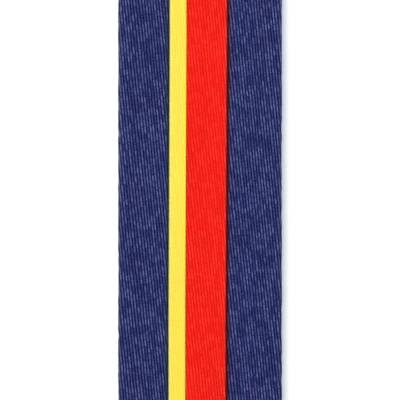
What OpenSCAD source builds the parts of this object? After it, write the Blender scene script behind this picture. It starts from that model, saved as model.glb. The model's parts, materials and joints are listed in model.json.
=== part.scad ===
// Medal on a striped ribbon: pin-back brooch, folded ribbon, bar suspender and struck disc.
// Frame: +Z up, the front faces -Y, and the origin is the middle of the closed brooch pin's axis.

/* [Ribbon] */
// Width of the ribbon
ribbon_w = 32; // [24:0.5:42]
// Thickness of one ply of the ribbon
ply_t = 0.45; // [0.3:0.05:0.6]
// Drop between the two rods that the ribbon is folded over
drop = 92; // [60:1:130]
// Half angle at which the plies close in below a rod
fold_angle = 14; // [10:1:20]
// Distance from a rod's axis to the seam that closes the fold
seam_drop = 5.4; // [4.8:0.1:8]
// Length of the turned-down end behind the upper fold
hem_len = 9; // [7:0.5:14]

/* [Ribbon stripes] */
// Width of the left navy stripe
left_navy_w = 9.55; // [6:0.05:12]
// Width of each thin dark line
line_w = 0.45; // [0.2:0.05:0.8]
// Width of the yellow stripe
yellow_w = 3.2; // [2:0.1:4]
// Width of the red stripe
red_w = 7.9; // [5:0.1:9]

/* [Stitching] */
// Diameter of the sewing thread
thread_d = 0.24; // [0.15:0.01:0.35]
// Length of one stitch
stitch_l = 2; // [1.4:0.1:3]
// Bare ribbon between two stitches
stitch_gap = 0.45; // [0.3:0.05:0.8]
// Bare ribbon between the seam's ends and the ribbon's edges
seam_margin = 1.2; // [0.8:0.1:3]

/* [Rods] */
// Diameter of the two ribbon rods
rod_d = 1.8; // [1.4:0.1:2.4]
// Radial clearance between a rod and the ribbon's fold
loop_gap = 0.06; // [0.03:0.01:0.1]
// Thickness of a bracket or post around a rod, along the rod
eye_t = 1.3; // [1:0.1:2]
// Wall of metal around a rod in its eye
eye_wall = 0.85; // [0.6:0.05:1.2]
// Clearance between the ribbon's edge and a bracket or post
side_clear = 0.6; // [0.4:0.1:1]
// Diameter of the ball of a finial
ball_d = 2.5; // [2:0.1:3.5]
// Thickness of a finial's collar
collar_t = 0.45; // [0.3:0.05:0.8]

/* [Brooch] */
// Height of the front bar
bar_h = 8; // [6.5:0.5:11]
// Thickness of the front bar
bar_t = 1.8; // [1.4:0.1:2.6]
// How far the front bar runs past its rod brackets
bar_overhang = 1.4; // [0.8:0.1:3]
// Width of the front bar's raised border
border_w = 0.9; // [0.6:0.1:1.2]
// Depth of the panel inside the border
panel_depth = 0.5; // [0.3:0.1:0.7]
// Gap between the bar's underside and the eyes of the rod brackets
bar_clear = 0.4; // [0.3:0.1:1]
// Thickness of the back plate
plate_t = 0.8; // [0.6:0.1:1.2]
// How far the back plate stays inside the bar, above and below
plate_inset = 0.8; // [0.4:0.1:1.4]
// Diameter of the rivets that join bar and plate
rivet_d = 0.9; // [0.7:0.1:1.2]
// Distance of the rivets from the brooch's middle
rivet_x = 8; // [6:0.5:9]
// Height of the rivets above and below the pin
rivet_z = 1.9; // [1.6:0.1:2.2]

/* [Pin and catch] */
// Diameter of the pin's stem
pin_d = 0.9; // [0.8:0.05:1.1]
// Gap from the back plate to the pin's axis
pin_gap = 2.7; // [2.6:0.1:4]
// Distance of the hinge rivet from the back plate's end
hinge_inset = 2.6; // [2.4:0.1:4]
// Distance of the catch's middle from the back plate's end
catch_inset = 3.9; // [3.6:0.1:6]
// Diameter of the hinge rivet
hinge_d = 1; // [0.8:0.1:1.2]
// Thickness of the pin's eye
pin_eye_t = 0.9; // [0.8:0.05:1.1]
// Thickness of an ear of the joint
ear_t = 0.6; // [0.5:0.05:0.9]
// Length of the catch housing along the pin
catch_l = 3.2; // [3:0.1:4.5]
// Bore radius of the catch housing, which the roller turns in
catch_r = 1.5; // [1.45:0.05:1.7]
// Wall of the catch housing
catch_wall = 0.55; // [0.45:0.05:0.8]
// Angle of the housing's mouth
mouth_angle = 100; // [98:1:104]
// Width of the roller's slot
roller_slot = 1.3; // [1.15:0.05:1.35]
// Reach of the roller's thumb tab from the pin's axis
tab_reach = 3.3; // [2.8:0.1:4]

/* [Suspender] */
// Depth and height of the suspender's bar
frame_bar = 2.4; // [2:0.1:3.2]
// Gap between the ribbon's fold and the swivel stud's head
head_clear = 0.6; // [0.4:0.1:1.2]
// Diameter of the boss in the middle of the bar
boss_d = 4.8; // [4:0.1:6]
// Length of the boss below the bar
boss_drop = 0.5; // [0.3:0.1:1.2]

/* [Swivel and claw] */
// Diameter of the swivel stud
stud_d = 1.6; // [1.4:0.1:2.2]
// Thickness of the swivel stud's head
stud_head_t = 0.7; // [0.5:0.1:1]
// Thickness of the swivel washer
washer_t = 0.4; // [0.3:0.05:0.8]
// Width of the claw
claw_w = 5.6; // [4.5:0.1:7]
// Height of the claw's block above the disc
claw_block_h = 2.4; // [2:0.1:4]
// Thickness of a claw cheek
cheek_t = 1; // [0.7:0.05:1.4]
// Depth to which the claw holds the disc
claw_reach = 4.2; // [3.6:0.1:5.2]
// Diameter of the claw pin
claw_pin_d = 1; // [0.8:0.1:1.4]

/* [Disc] */
// Diameter of the disc
disc_d = 36; // [30:0.5:42]
// Thickness of the disc at its rim
rim_t = 3; // [2.4:0.1:3.6]
// Width of the raised rim
rim_w = 1.5; // [1:0.1:2]
// Depth of the field below the rim, on each side
field_depth = 0.45; // [0.3:0.05:0.55]
// Radius of the centre pocket on each side
pocket_r = 8.6; // [7:0.1:9]
// Depth of the centre pockets below the field
pocket_depth = 0.35; // [0.25:0.05:0.4]
// Width of the bead round the pockets
bead_w = 0.6; // [0.4:0.05:0.8]
// Height of the star above the enamel
star_h = 1.05; // [0.8:0.05:1.3]
// Number of the star's points
star_points = 5; // [5:1:8]
// Diameter of the rivet through the star
star_rivet_d = 1; // [0.8:0.1:1.4]
// Number of leaf pairs on each branch of the wreath
leaf_pairs = 10; // [8:1:11]
// Length of a leaf
leaf_l = 3.6; // [3:0.1:4]
// Width of a leaf, as a share of its length
leaf_width = 0.48; // [0.35:0.01:0.5]
// Thickness of a leaf
leaf_t = 0.5; // [0.35:0.05:0.7]

/* [Hidden] */
$fn = 64;

// Clearances
fixed_gap = 0.02; // between a pin and the hole it is set in
turn_gap = 0.05; // between parts that turn on each other
cut = 1; // how far a cut runs past the surface it opens
large_fn = 128; // facets of the disc's large circles
head_spread = 0.85; // radius of a rivet's head, as a share of its shank's diameter

// Colours
gilt = "goldenrod";
dull_gilt = "darkgoldenrod";
steel = "silver";
navy = [0.19, 0.21, 0.4];
dark = [0.12, 0.1, 0.13];
yellow = [0.99, 0.9, 0.3];
red = [0.94, 0.12, 0.1];

// Rods and folds
rod_r = rod_d / 2;
fold_in = rod_r + loop_gap;
fold_out = fold_in + ply_t;
eye_r = rod_r + eye_wall;
eye_x = ribbon_w / 2 + side_clear;
eye_end = eye_x + eye_t;
rod_half = eye_end + collar_t + ball_d / 3;

// Brooch
bar_half = eye_end + bar_overhang;
plate_half = eye_x - fixed_gap;
plate_y = -pin_gap;
bar_y = plate_y - plate_t;
front_y = bar_y - bar_t;
hang_y = bar_y - bar_t / 2;
rod_z = -(bar_h / 2 + bar_clear + eye_r);
rivet_depth = (bar_t - panel_depth) * 0.6;
rivet_head_r = rivet_d * head_spread;

// Pin and catch
hinge_x = -(plate_half - hinge_inset);
catch_x = plate_half - catch_inset;
pin_eye_wall = 0.75; // metal around the hinge rivet in the pin's eye
ear_proud = 0.05; // how far the joint's ears stand past the pin's eye
eye_pin_r = hinge_d / 2 + pin_eye_wall;
ear_r = eye_pin_r + ear_proud;
ear_gap = pin_eye_t + 2 * turn_gap;
shoulder_l = 0.9; // collar on the stem beside its eye
shoulder_step = 0.2; // how far the collar stands out from the stem
shoulder_r = pin_d / 2 + shoulder_step;
shoulder_x = hinge_x + ear_r + 2 * turn_gap;
stem_x0 = shoulder_x + shoulder_l;
taper_lead = 1.2; // the stem starts to thin this far before the catch
tip_past = 1.9; // the point reaches this far beyond the catch
stem_x1 = catch_x - catch_l / 2 - taper_lead;
tip_x = catch_x + catch_l / 2 + tip_past;
tip_l = 2.4; // length of the point
tip_r = 0.06; // blunt end of the point
thin_r = pin_d / 2 - 0.05;
roller_r = catch_r - turn_gap;
bore_swell = 0.08; // how far the roller's bore is wider than its slot, on each side
roller_bore = roller_slot / 2 + bore_swell;
lip_t = 0.4; // ring at each end of the housing that keeps the roller in
lip_step = 0.3; // how far that ring reaches in from the housing's bore
lip_r = catch_r - lip_step;
roller_l = catch_l - 2 * lip_t - 2 * turn_gap;
tab_t = 0.5; // thickness of the thumb tab
tab_play = 2; // angle left between the tab and the edge of the mouth
tab_angle = mouth_angle / 2 - asin(tab_t / 2 / catch_r) - tab_play;
roller_turn = 2 * tab_angle;

// Suspender
susp_z = rod_z - drop;
head_z = -(fold_out + head_clear); // top of the stud's head, from the suspender rod
bar_top = head_z - stud_head_t - turn_gap;
bar_bottom = bar_top - frame_bar;
boss_bottom = bar_bottom - boss_drop;
stud_r = stud_d / 2;
washer_top = boss_bottom - turn_gap;
claw_top = washer_top - washer_t - fixed_gap;
head_inset = 0.7; // how far the stud's head stays inside the boss
washer_inset = 0.2; // how far the washer stays inside the boss
stud_sink = 0.6; // how deep the stud is set in the claw, as a share of the block's height
stud_end = claw_top - claw_block_h * stud_sink;
disc_top = claw_top - claw_block_h - fixed_gap;
disc_r = disc_d / 2;
disc_z = disc_top - disc_r;
claw_pin_z = disc_top - claw_reach / 2;
claw_half_y = rim_t / 2 + turn_gap + cheek_t;

// Disc, with y counted from its middle plane
field_y = rim_t / 2 - field_depth;
pocket_y = field_y - pocket_depth;
rim_round = 0.4; // rounding of the rim
bead_h = 0.3; // height of the bead round the pockets
wreath_r = (pocket_r + bead_w + disc_r - rim_w) / 2;
star_inset = 0.7; // how far the star's tips stay inside the pocket
star_r = pocket_r - star_inset;
half_point = 180 / star_points / 2;
star_fill = 1.05; // how much fuller the star is than one with straight sides
star_waist = star_r * sin(half_point) / sin(180 - 3 * half_point) * star_fill;
star_edge = 0.3; // height of the star's edge
enamel_t = pocket_depth;
rivet_seat_r = star_rivet_d * 1.1;
rivet_seat_y = field_y + star_h - 0.3; // flat on the star's peak that the rivet's head sits on

// A cylinder along X, from x0 to x1
module x_rod(r, x0, x1, y = 0, z = 0) {
    translate([x0, y, z]) rotate([0, 90, 0]) cylinder(h = x1 - x0, r = r);
}

// A cylinder along Y, from y0 to y1
module y_rod(r, y0, y1, x = 0, z = 0) {
    translate([x, y1, z]) rotate([90, 0, 0]) cylinder(h = y1 - y0, r = r);
}

// A cylinder along Z, from z0 to z1
module z_rod(r, z0, z1, x = 0, y = 0) {
    translate([x, y, z0]) cylinder(h = z1 - z0, r = r);
}

// A box given by its two corners
module block(low, high) {
    translate(low) cube(high - low);
}

// Both sides of what lies at +X
module both_sides() {
    children();
    mirror([1, 0, 0]) children();
}

// A domed rivet head with its flat side at z = 0, rising along +Z
module dome(r, h) {
    ball = (r * r + h * h) / (2 * h);
    intersection() {
        translate([0, 0, h - ball]) sphere(r = ball);
        cylinder(h = h, r = r);
    }
}

// ---- Brooch ----

module front_bar() {
    half_h = bar_h / 2;
    boss = bar_h * 0.3;
    color(gilt) difference() {
        union() {
            difference() {
                block([-bar_half, front_y, -half_h], [bar_half, bar_y, half_h]);
                block([-bar_half + border_w, front_y - cut, -half_h + border_w],
                    [bar_half - border_w, front_y + panel_depth, half_h - border_w]);
            }
            y_rod(boss, front_y, front_y + panel_depth);
        }
        for (x = [-rivet_x, rivet_x], z = [-rivet_z, rivet_z])
            y_rod(rivet_d / 2 + fixed_gap, bar_y - rivet_depth - fixed_gap, bar_y + cut, x, z);
    }
}

module back_plate() {
    half_h = bar_h / 2 - plate_inset;
    color(dull_gilt) difference() {
        block([-plate_half, bar_y, -half_h], [plate_half, plate_y, half_h]);
        for (x = [-rivet_x, rivet_x], z = [-rivet_z, rivet_z])
            y_rod(rivet_d / 2 + fixed_gap, bar_y - cut, plate_y + cut, x, z);
    }
}

module bar_rivets() {
    color(dull_gilt) for (x = [-rivet_x, rivet_x], z = [-rivet_z, rivet_z]) {
        y_rod(rivet_d / 2, bar_y - rivet_depth, plate_y, x, z);
        translate([x, plate_y, z]) rotate([-90, 0, 0]) dome(rivet_head_r, rivet_d * 0.4);
    }
}

module rod_brackets() {
    half_y = bar_t / 2;
    tongue_top = bar_h / 2 - plate_inset;
    color(gilt) both_sides() difference() {
        union() {
            x_rod(eye_r, eye_x, eye_end, hang_y, rod_z);
            block([eye_x, hang_y - half_y, rod_z], [eye_end, plate_y, -bar_h / 2]);
            block([eye_x, bar_y, rod_z], [eye_end, plate_y, tongue_top]);
        }
        x_rod(rod_r + fixed_gap, eye_x - cut, eye_end + cut, hang_y, rod_z);
    }
}

// A round rod through both eyes, at the given height
module rod_at(z) {
    x_rod(rod_r, -rod_half, rod_half, hang_y, z);
}

// The two turned ends of a rod: collar, neck and ball, bored for the rod's end
module finials_at(z) {
    ball_r = ball_d / 2;
    neck = ball_r * 0.6;
    both_sides() difference() {
        union() {
            x_rod(eye_r, eye_end, eye_end + collar_t, hang_y, z);
            x_rod(rod_r + fixed_gap + neck / 3, eye_end, eye_end + collar_t + neck, hang_y, z);
            translate([eye_end + collar_t + ball_r * 0.85, hang_y, z]) sphere(r = ball_r);
        }
        x_rod(rod_r + fixed_gap, eye_end - cut, rod_half + fixed_gap, hang_y, z);
    }
}

module ribbon_rod() {
    color(dull_gilt) rod_at(rod_z);
}

module rod_finials() {
    color(gilt) finials_at(rod_z);
}

module pin_joint() {
    ear_z = ear_gap / 2;
    foot_l = 2 * ear_r;
    foot_t = 0.5;
    color(dull_gilt) difference() {
        union() {
            for (side = [-1, 1]) {
                low = side < 0 ? -ear_z - ear_t : ear_z;
                z_rod(ear_r, low, low + ear_t, hinge_x, 0);
                block([hinge_x - ear_r, plate_y, low], [hinge_x + ear_r, 0, low + ear_t]);
            }
            block([hinge_x - foot_l / 2, plate_y, -ear_z - ear_t],
                [hinge_x + foot_l / 2, plate_y + foot_t, ear_z + ear_t]);
        }
        z_rod(hinge_d / 2 + fixed_gap, -ear_z - ear_t - cut, ear_z + ear_t + cut, hinge_x, 0);
    }
}

module joint_rivet() {
    top = ear_gap / 2 + ear_t;
    color(steel) translate([hinge_x, 0, 0]) {
        z_rod(hinge_d / 2, -top, top);
        translate([0, 0, top]) dome(hinge_d * head_spread, hinge_d * 0.35);
        mirror([0, 0, 1]) translate([0, 0, top]) dome(hinge_d * head_spread, hinge_d * 0.35);
    }
}

// The wedge that opens the housing's mouth towards +Y, in the YZ plane
module mouth_wedge(x0, x1) {
    reach = 4 * catch_r;
    half = mouth_angle / 2;
    translate([x0, 0, 0]) rotate([90, 0, 90]) linear_extrude(height = x1 - x0)
        polygon([[0, 0], [reach * cos(half), -reach * sin(half)],
            [reach * cos(half), reach * sin(half)]]);
}

module catch_housing() {
    outer = catch_r + catch_wall;
    x0 = catch_x - catch_l / 2;
    x1 = catch_x + catch_l / 2;
    foot_z = outer * 0.75;
    color(dull_gilt) difference() {
        union() {
            x_rod(outer, x0, x1);
            block([x0, plate_y, -foot_z], [x1, 0, foot_z]);
        }
        x_rod(catch_r, x0 + lip_t, x1 - lip_t);
        x_rod(lip_r, x0 - cut, x1 + cut);
        mouth_wedge(x0 - cut, x1 + cut);
    }
}

// ---- Pin and catch ----

module pin_stem() {
    half_t = pin_eye_t / 2;
    color(steel) {
        difference() {
            union() {
                z_rod(eye_pin_r, -half_t, half_t, hinge_x, 0);
                x_rod(half_t - turn_gap, hinge_x + hinge_d, shoulder_x);
            }
            z_rod(hinge_d / 2 + turn_gap, -half_t - cut, half_t + cut, hinge_x, 0);
        }
        x_rod(shoulder_r, shoulder_x, stem_x0);
        x_rod(pin_d / 2, stem_x0, stem_x1);
        translate([stem_x1, 0, 0]) rotate([90, 0, 90]) rotate_extrude()
            polygon([[0, 0], [pin_d / 2, 0], [thin_r, 1], [thin_r, tip_x - tip_l - stem_x1],
                [tip_r, tip_x - stem_x1], [0, tip_x - stem_x1]]);
    }
}

module catch_roller() {
    x0 = catch_x - roller_l / 2;
    x1 = catch_x + roller_l / 2;
    half_slot = roller_slot / 2;
    tab_l = roller_l - 2 * turn_gap;
    color(gilt) difference() {
        union() {
            x_rod(roller_r, x0, x1);
            rotate([tab_angle, 0, 0])
                block([catch_x - tab_l / 2, roller_r * 0.75, -tab_t / 2],
                    [catch_x + tab_l / 2, tab_reach, tab_t / 2]);
        }
        x_rod(roller_bore, x0 - cut, x1 + cut);
        block([x0 - cut, 0, -half_slot], [x1 + cut, roller_r + cut, half_slot]);
    }
}

// ---- Ribbon ----

// Outline of a closing fold around a rod at the origin: r round the rod, half the distance at the meeting
function fold_side(r, half) = let (run = (r * cos(fold_angle) - half) / sin(fold_angle))
    [[r * cos(fold_angle), -r * sin(fold_angle)], [half, -r * sin(fold_angle) - run * cos(fold_angle)]];

// Outside of the ribbon from a fold down to half the drop
module fold_outside() {
    side = fold_side(fold_out, ply_t);
    circle(r = fold_out);
    polygon([side[0], side[1], [ply_t, -drop / 2], [-ply_t, -drop / 2],
        [-side[1][0], side[1][1]], [-side[0][0], side[0][1]]]);
}

// Inside of a fold, down to where its plies meet
module fold_inside() {
    side = fold_side(fold_in, 0);
    circle(r = fold_in);
    polygon([side[0], side[1], [-side[0][0], side[0][1]]]);
}

// Places its children in the lower fold, turned over
module at_lower_fold() {
    translate([0, -drop]) mirror([0, 1]) children();
}

// Section of the whole ribbon, with y across and z up, from the upper rod's axis
module ribbon_section() {
    hem_top = fold_side(fold_out, ply_t)[1][1];
    difference() {
        union() {
            fold_outside();
            at_lower_fold() fold_outside();
            polygon([[0, hem_top], [ply_t, hem_top], [2 * ply_t, hem_top - ply_t],
                [2 * ply_t, hem_top - hem_len], [0, hem_top - hem_len]]);
        }
        fold_inside();
        at_lower_fold() fold_inside();
    }
}

// One stripe of the ribbon, from x0 with width w
module stripe(x0, w) {
    translate([x0, hang_y, rod_z]) rotate([90, 0, 90]) linear_extrude(height = w) ribbon_section();
}

module ribbon() {
    left = -ribbon_w / 2;
    line_1 = left + left_navy_w;
    yellow_x = line_1 + line_w;
    red_x = yellow_x + yellow_w;
    line_2 = red_x + red_w;
    right_x = line_2 + line_w;
    color(navy) stripe(left, left_navy_w);
    color(dark) stripe(line_1, line_w);
    color(yellow) stripe(yellow_x, yellow_w);
    color(red) stripe(red_x, red_w);
    color(dark) stripe(line_2, line_w);
    color(navy) stripe(right_x, ribbon_w / 2 - right_x);
}

// A row of stitches along X at the given height, showing at the front and behind
module seam(z, back_y) {
    run = ribbon_w - 2 * seam_margin;
    pitch = stitch_l + stitch_gap;
    count = floor((run + stitch_gap) / pitch);
    first = -(count * pitch - stitch_gap) / 2;
    thread_r = thread_d / 2;
    color(navy) for (i = [0:count - 1], y = [hang_y - ply_t - thread_r, back_y + thread_r])
        x_rod(thread_r, first + i * pitch, first + i * pitch + stitch_l, y, z);
}

module top_stitching() {
    seam(rod_z - seam_drop, hang_y + 2 * ply_t);
}

module bottom_stitching() {
    seam(susp_z + seam_drop, hang_y + ply_t);
}

// ---- Suspender ----

module suspender_frame() {
    half = frame_bar / 2;
    color(gilt) translate([0, hang_y, susp_z]) difference() {
        union() {
            both_sides() {
                x_rod(eye_r, eye_x, eye_end);
                block([eye_x, -half, bar_bottom], [eye_end, half, 0]);
            }
            block([-eye_end, -half, bar_bottom], [eye_end, half, bar_top]);
            z_rod(boss_d / 2, boss_bottom, bar_top);
        }
        x_rod(rod_r + fixed_gap, -eye_end - cut, eye_end + cut);
        z_rod(stud_r + turn_gap, boss_bottom - cut, bar_top + cut);
    }
}

module suspender_rod() {
    color(dull_gilt) rod_at(susp_z);
}

module suspender_finials() {
    color(gilt) finials_at(susp_z);
}

// ---- Medal ----

// What follows is drawn from the suspender rod's middle
module from_suspender() {
    translate([0, hang_y, susp_z]) children();
}

// What follows is drawn from the disc's middle
module from_disc() {
    translate([0, hang_y, susp_z + disc_z]) children();
}

module swivel_stud() {
    head_r = boss_d / 2 - head_inset;
    color(steel) from_suspender() {
        z_rod(stud_r, stud_end, head_z - stud_head_t);
        translate([0, 0, head_z - stud_head_t]) dome(head_r, stud_head_t);
    }
}

module swivel_washer() {
    color(dull_gilt) from_suspender() difference() {
        z_rod(boss_d / 2 - washer_inset, washer_top - washer_t, washer_top);
        z_rod(stud_r + fixed_gap, washer_top - washer_t - cut, washer_top + cut);
    }
}

module claw() {
    half_x = claw_w / 2;
    disc_half = rim_t / 2 + turn_gap;
    low = disc_top - claw_reach + half_x;
    stud_hole = stud_end - fixed_gap;
    color(gilt) from_suspender() difference() {
        union() {
            block([-half_x, -claw_half_y, disc_top], [half_x, claw_half_y, claw_top]);
            block([-half_x, -claw_half_y, low], [half_x, claw_half_y, disc_top]);
            y_rod(half_x, -claw_half_y, claw_half_y, 0, low);
        }
        block([-half_x - cut, -disc_half, low - half_x - cut],
            [half_x + cut, disc_half, disc_top + fixed_gap]);
        z_rod(stud_r + fixed_gap, stud_hole, claw_top + cut);
        y_rod(claw_pin_d / 2 + fixed_gap, -claw_half_y - cut, claw_half_y + cut, 0, claw_pin_z);
    }
}

module claw_pin() {
    r = claw_pin_d / 2;
    color(steel) from_suspender() {
        y_rod(r, -claw_half_y, claw_half_y, 0, claw_pin_z);
        for (side = [0, 180]) translate([0, 0, claw_pin_z]) rotate([90, 0, side])
            translate([0, 0, claw_half_y]) dome(claw_pin_d * head_spread, claw_pin_d * 0.3);
    }
}

// Half of the disc's section: radius across, distance from the middle plane up
module disc_half_section() {
    rim_in = disc_r - rim_w;
    bead_out = pocket_r + bead_w;
    top = rim_t / 2;
    difference() {
        union() {
            square([disc_r, field_y]);
            translate([rim_in, 0]) square([rim_w - rim_round, top]);
            translate([rim_in, 0]) square([rim_w, top - rim_round]);
            translate([disc_r - rim_round, top - rim_round]) circle(r = rim_round);
            translate([pocket_r, 0]) square([bead_w, field_y + bead_h]);
        }
        translate([-cut, pocket_y]) square([pocket_r + cut, rim_t]);
        translate([-rim_t, -rim_t]) square([rim_t, 2 * rim_t]);
    }
}

module medal_disc() {
    color(gilt) difference() {
        from_disc() for (side = [90, -90]) rotate([side, 0, 0])
            rotate_extrude($fn = large_fn) disc_half_section();
        from_disc() y_rod(star_rivet_d / 2 + fixed_gap, -rim_t, rim_t);
        from_suspender() y_rod(claw_pin_d / 2 + fixed_gap, -rim_t, rim_t, 0, claw_pin_z);
    }
}

module enamel_field() {
    color(navy) from_disc() difference() {
        y_rod(pocket_r - fixed_gap, -pocket_y - enamel_t, -pocket_y);
        y_rod(star_rivet_d / 2 + fixed_gap, -rim_t, 0);
    }
}

// Points of a star's outline, alternating tips and waists
function star_outline(h) = [for (i = [0:2 * star_points - 1])
    let (r = i % 2 == 0 ? star_r : star_waist, a = 90 + i * 180 / star_points)
    [r * cos(a), r * sin(a), h]];

module star() {
    count = 2 * star_points;
    points = concat(star_outline(0), star_outline(star_edge), [[0, 0, star_h]]);
    sides = [for (i = [0:count - 1]) let (j = (i + 1) % count) [i, i + count, j + count, j]];
    facets = [for (i = [0:count - 1]) let (j = (i + 1) % count) [i + count, 2 * count, j + count]];
    base = [[for (i = [0:count - 1]) i]];
    color(gilt) from_disc() difference() {
        translate([0, -field_y, 0]) rotate([90, 0, 0])
            polyhedron(points = points, faces = concat(base, sides, facets));
        y_rod(star_rivet_d / 2 + fixed_gap, -2 * rim_t, 0);
        y_rod(rivet_seat_r + fixed_gap, -2 * rim_t, -rivet_seat_y);
    }
}

module star_rivet() {
    back = pocket_y + enamel_t;
    color(dull_gilt) from_disc() {
        y_rod(star_rivet_d / 2, -rivet_seat_y, back);
        translate([0, -rivet_seat_y, 0]) rotate([90, 0, 0]) dome(rivet_seat_r, rivet_seat_r * 0.8);
        translate([0, back, 0]) rotate([-90, 0, 0]) dome(rivet_seat_r, rivet_seat_r * 0.5);
    }
}

// A pointed leaf lying along +X from the origin
module leaf() {
    half = leaf_l * leaf_width / 2;
    edge = [[0.3, 0.85], [0.55, 1], [0.8, 0.6]]; // shares of the length and of the half width
    upper = [for (p = edge) [p[0] * leaf_l, p[1] * half]];
    lower = [for (i = [len(edge) - 1:-1:0]) [upper[i][0], -upper[i][1]]];
    linear_extrude(height = leaf_t) polygon(concat([[0, 0]], upper, [[leaf_l, 0]], lower));
}

module wreath() {
    opening = 26; // half angle left free at the top for the claw
    foot = 8; // half angle left free at the bottom for the knot
    step = (180 - opening - foot) / leaf_pairs;
    stem_r = 0.35;
    knot_r = 1.2;
    splay = 24;
    stagger = 0.35; // how far the outer leaves lead the inner ones, as a share of a step
    color(dull_gilt) from_disc() translate([0, -field_y, 0]) rotate([90, 0, 0]) both_sides() {
        for (i = [0:leaf_pairs - 1], side = [-1, 1])
            rotate(-90 + foot + (i + (side > 0 ? stagger : 0)) * step) translate([wreath_r, 0, 0])
                rotate(90 - side * splay) leaf();
        rotate(-90) rotate_extrude(angle = 180 - opening, $fn = large_fn)
            translate([wreath_r - stem_r, 0]) square([2 * stem_r, leaf_t * 0.8]);
        translate([0, -wreath_r, 0]) cylinder(h = leaf_t * 1.2, r = knot_r);
    }
}

module reverse_plate() {
    color(gilt) from_disc() difference() {
        y_rod(pocket_r - fixed_gap, pocket_y, pocket_y + enamel_t);
        y_rod(star_rivet_d / 2 + fixed_gap, 0, rim_t);
    }
}

front_bar();
back_plate();
bar_rivets();
rod_brackets();
ribbon_rod();
rod_finials();
pin_joint();
joint_rivet();
catch_housing();
pin_stem();
catch_roller();
ribbon();
top_stitching();
bottom_stitching();
suspender_frame();
suspender_rod();
suspender_finials();
swivel_stud();
swivel_washer();
claw();
claw_pin();
medal_disc();
enamel_field();
star();
star_rivet();
wreath();
reverse_plate();
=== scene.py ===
"""The looks of a medal on a striped ribbon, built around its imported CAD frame."""

import json
import logging
import math
from contextlib import contextmanager
from dataclasses import dataclass, field
from enum import Enum
from typing import Callable, Iterator

import bmesh
import bpy
import numpy as np
from mathutils import Matrix, Vector


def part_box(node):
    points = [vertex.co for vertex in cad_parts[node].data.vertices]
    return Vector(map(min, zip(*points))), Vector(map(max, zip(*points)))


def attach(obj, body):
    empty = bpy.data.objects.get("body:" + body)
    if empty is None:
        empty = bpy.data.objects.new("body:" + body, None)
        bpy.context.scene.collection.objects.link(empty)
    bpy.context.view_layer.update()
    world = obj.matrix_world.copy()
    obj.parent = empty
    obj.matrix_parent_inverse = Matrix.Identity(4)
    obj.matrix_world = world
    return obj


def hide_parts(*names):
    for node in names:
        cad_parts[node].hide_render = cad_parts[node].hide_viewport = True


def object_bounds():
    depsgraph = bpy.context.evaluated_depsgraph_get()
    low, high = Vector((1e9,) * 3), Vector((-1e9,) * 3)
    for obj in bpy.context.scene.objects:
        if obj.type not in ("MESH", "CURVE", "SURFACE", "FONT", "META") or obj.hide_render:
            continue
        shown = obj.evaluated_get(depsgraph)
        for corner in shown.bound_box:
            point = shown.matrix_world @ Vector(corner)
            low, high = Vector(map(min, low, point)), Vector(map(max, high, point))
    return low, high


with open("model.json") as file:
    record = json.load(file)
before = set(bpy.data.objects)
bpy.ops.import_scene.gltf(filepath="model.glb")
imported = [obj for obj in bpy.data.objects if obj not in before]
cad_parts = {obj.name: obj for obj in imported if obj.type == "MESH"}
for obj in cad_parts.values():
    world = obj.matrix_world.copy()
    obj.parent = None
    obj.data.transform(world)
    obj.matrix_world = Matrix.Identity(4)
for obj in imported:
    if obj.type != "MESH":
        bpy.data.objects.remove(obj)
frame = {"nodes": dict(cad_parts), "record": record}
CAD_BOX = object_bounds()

MM = 0.001
WELD = 0.002 * MM
FLAT = math.radians(0.6)
QUARTER = math.pi / 2
SEED = 7
Colour = tuple[float, float, float]
Piece = bpy.types.Object
Material = bpy.types.Material
Socket = bpy.types.NodeSocket
log = logging.getLogger("medal")


class LampKind(Enum):
    """The kinds of lamp: a far sun, or a soft square panel."""

    SUN = "SUN"
    AREA = "AREA"


class Slot(Enum):
    """The record's material slots."""

    GILT = "gilt"
    DULL_GILT = "dull_gilt"
    STEEL = "steel"
    CLOTH = "ribbon_cloth"
    THREAD = "thread"
    ENAMEL = "enamel"


def linear(red: float, green: float, blue: float) -> Colour:
    """Turns a colour on the 0 to 255 scale into the linear one that shaders use.

    Args:
        red: Red, 0 to 255.
        green: Green, 0 to 255.
        blue: Blue, 0 to 255.

    Returns:
        The linear colour.
    """
    shares = [value / 255 for value in (red, green, blue)]
    return tuple(s / 12.92 if s <= 0.04045 else ((s + 0.055) / 1.055) ** 2.4 for s in shares)


def middle(node: str) -> Vector:
    """Returns the middle of a CAD node's box, in metres."""
    low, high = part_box(node)
    return (low + high) / 2


def span(node: str) -> Vector:
    """Returns the three sides of a CAD node's box, in metres."""
    low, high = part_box(node)
    return high - low


def body_holding(node: str) -> str:
    """Returns the name of the CAD body that a node belongs to."""
    bodies = frame["record"]["behaviour"]["bodies"]
    return next(body for body, nodes in bodies.items() if node in nodes)


# ---- Hand tools ----


def bring_in(name: str, data: bpy.types.ID) -> Piece:
    """Puts data into the scene as a new object.

    Args:
        name: The object's name.
        data: A mesh, a lamp or a camera.

    Returns:
        The object.
    """
    added = bpy.data.objects.new(name, data)
    bpy.context.scene.collection.objects.link(added)
    return added


def only(piece: Piece) -> Piece:
    """Selects one piece alone and makes it the active one.

    Args:
        piece: The piece to work on.

    Returns:
        The same piece.
    """
    bpy.ops.object.select_all(action="DESELECT")
    piece.select_set(True)
    bpy.context.view_layer.objects.active = piece
    return piece


def just_added(name: str) -> Piece:
    """Names the primitive that was added last and freezes its place into its mesh.

    Args:
        name: The piece's name.

    Returns:
        The named piece.
    """
    piece = only(bpy.context.object)
    piece.name = name
    piece.data.name = name
    bpy.ops.object.transform_apply(location=True, rotation=True, scale=True)
    return piece


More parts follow.
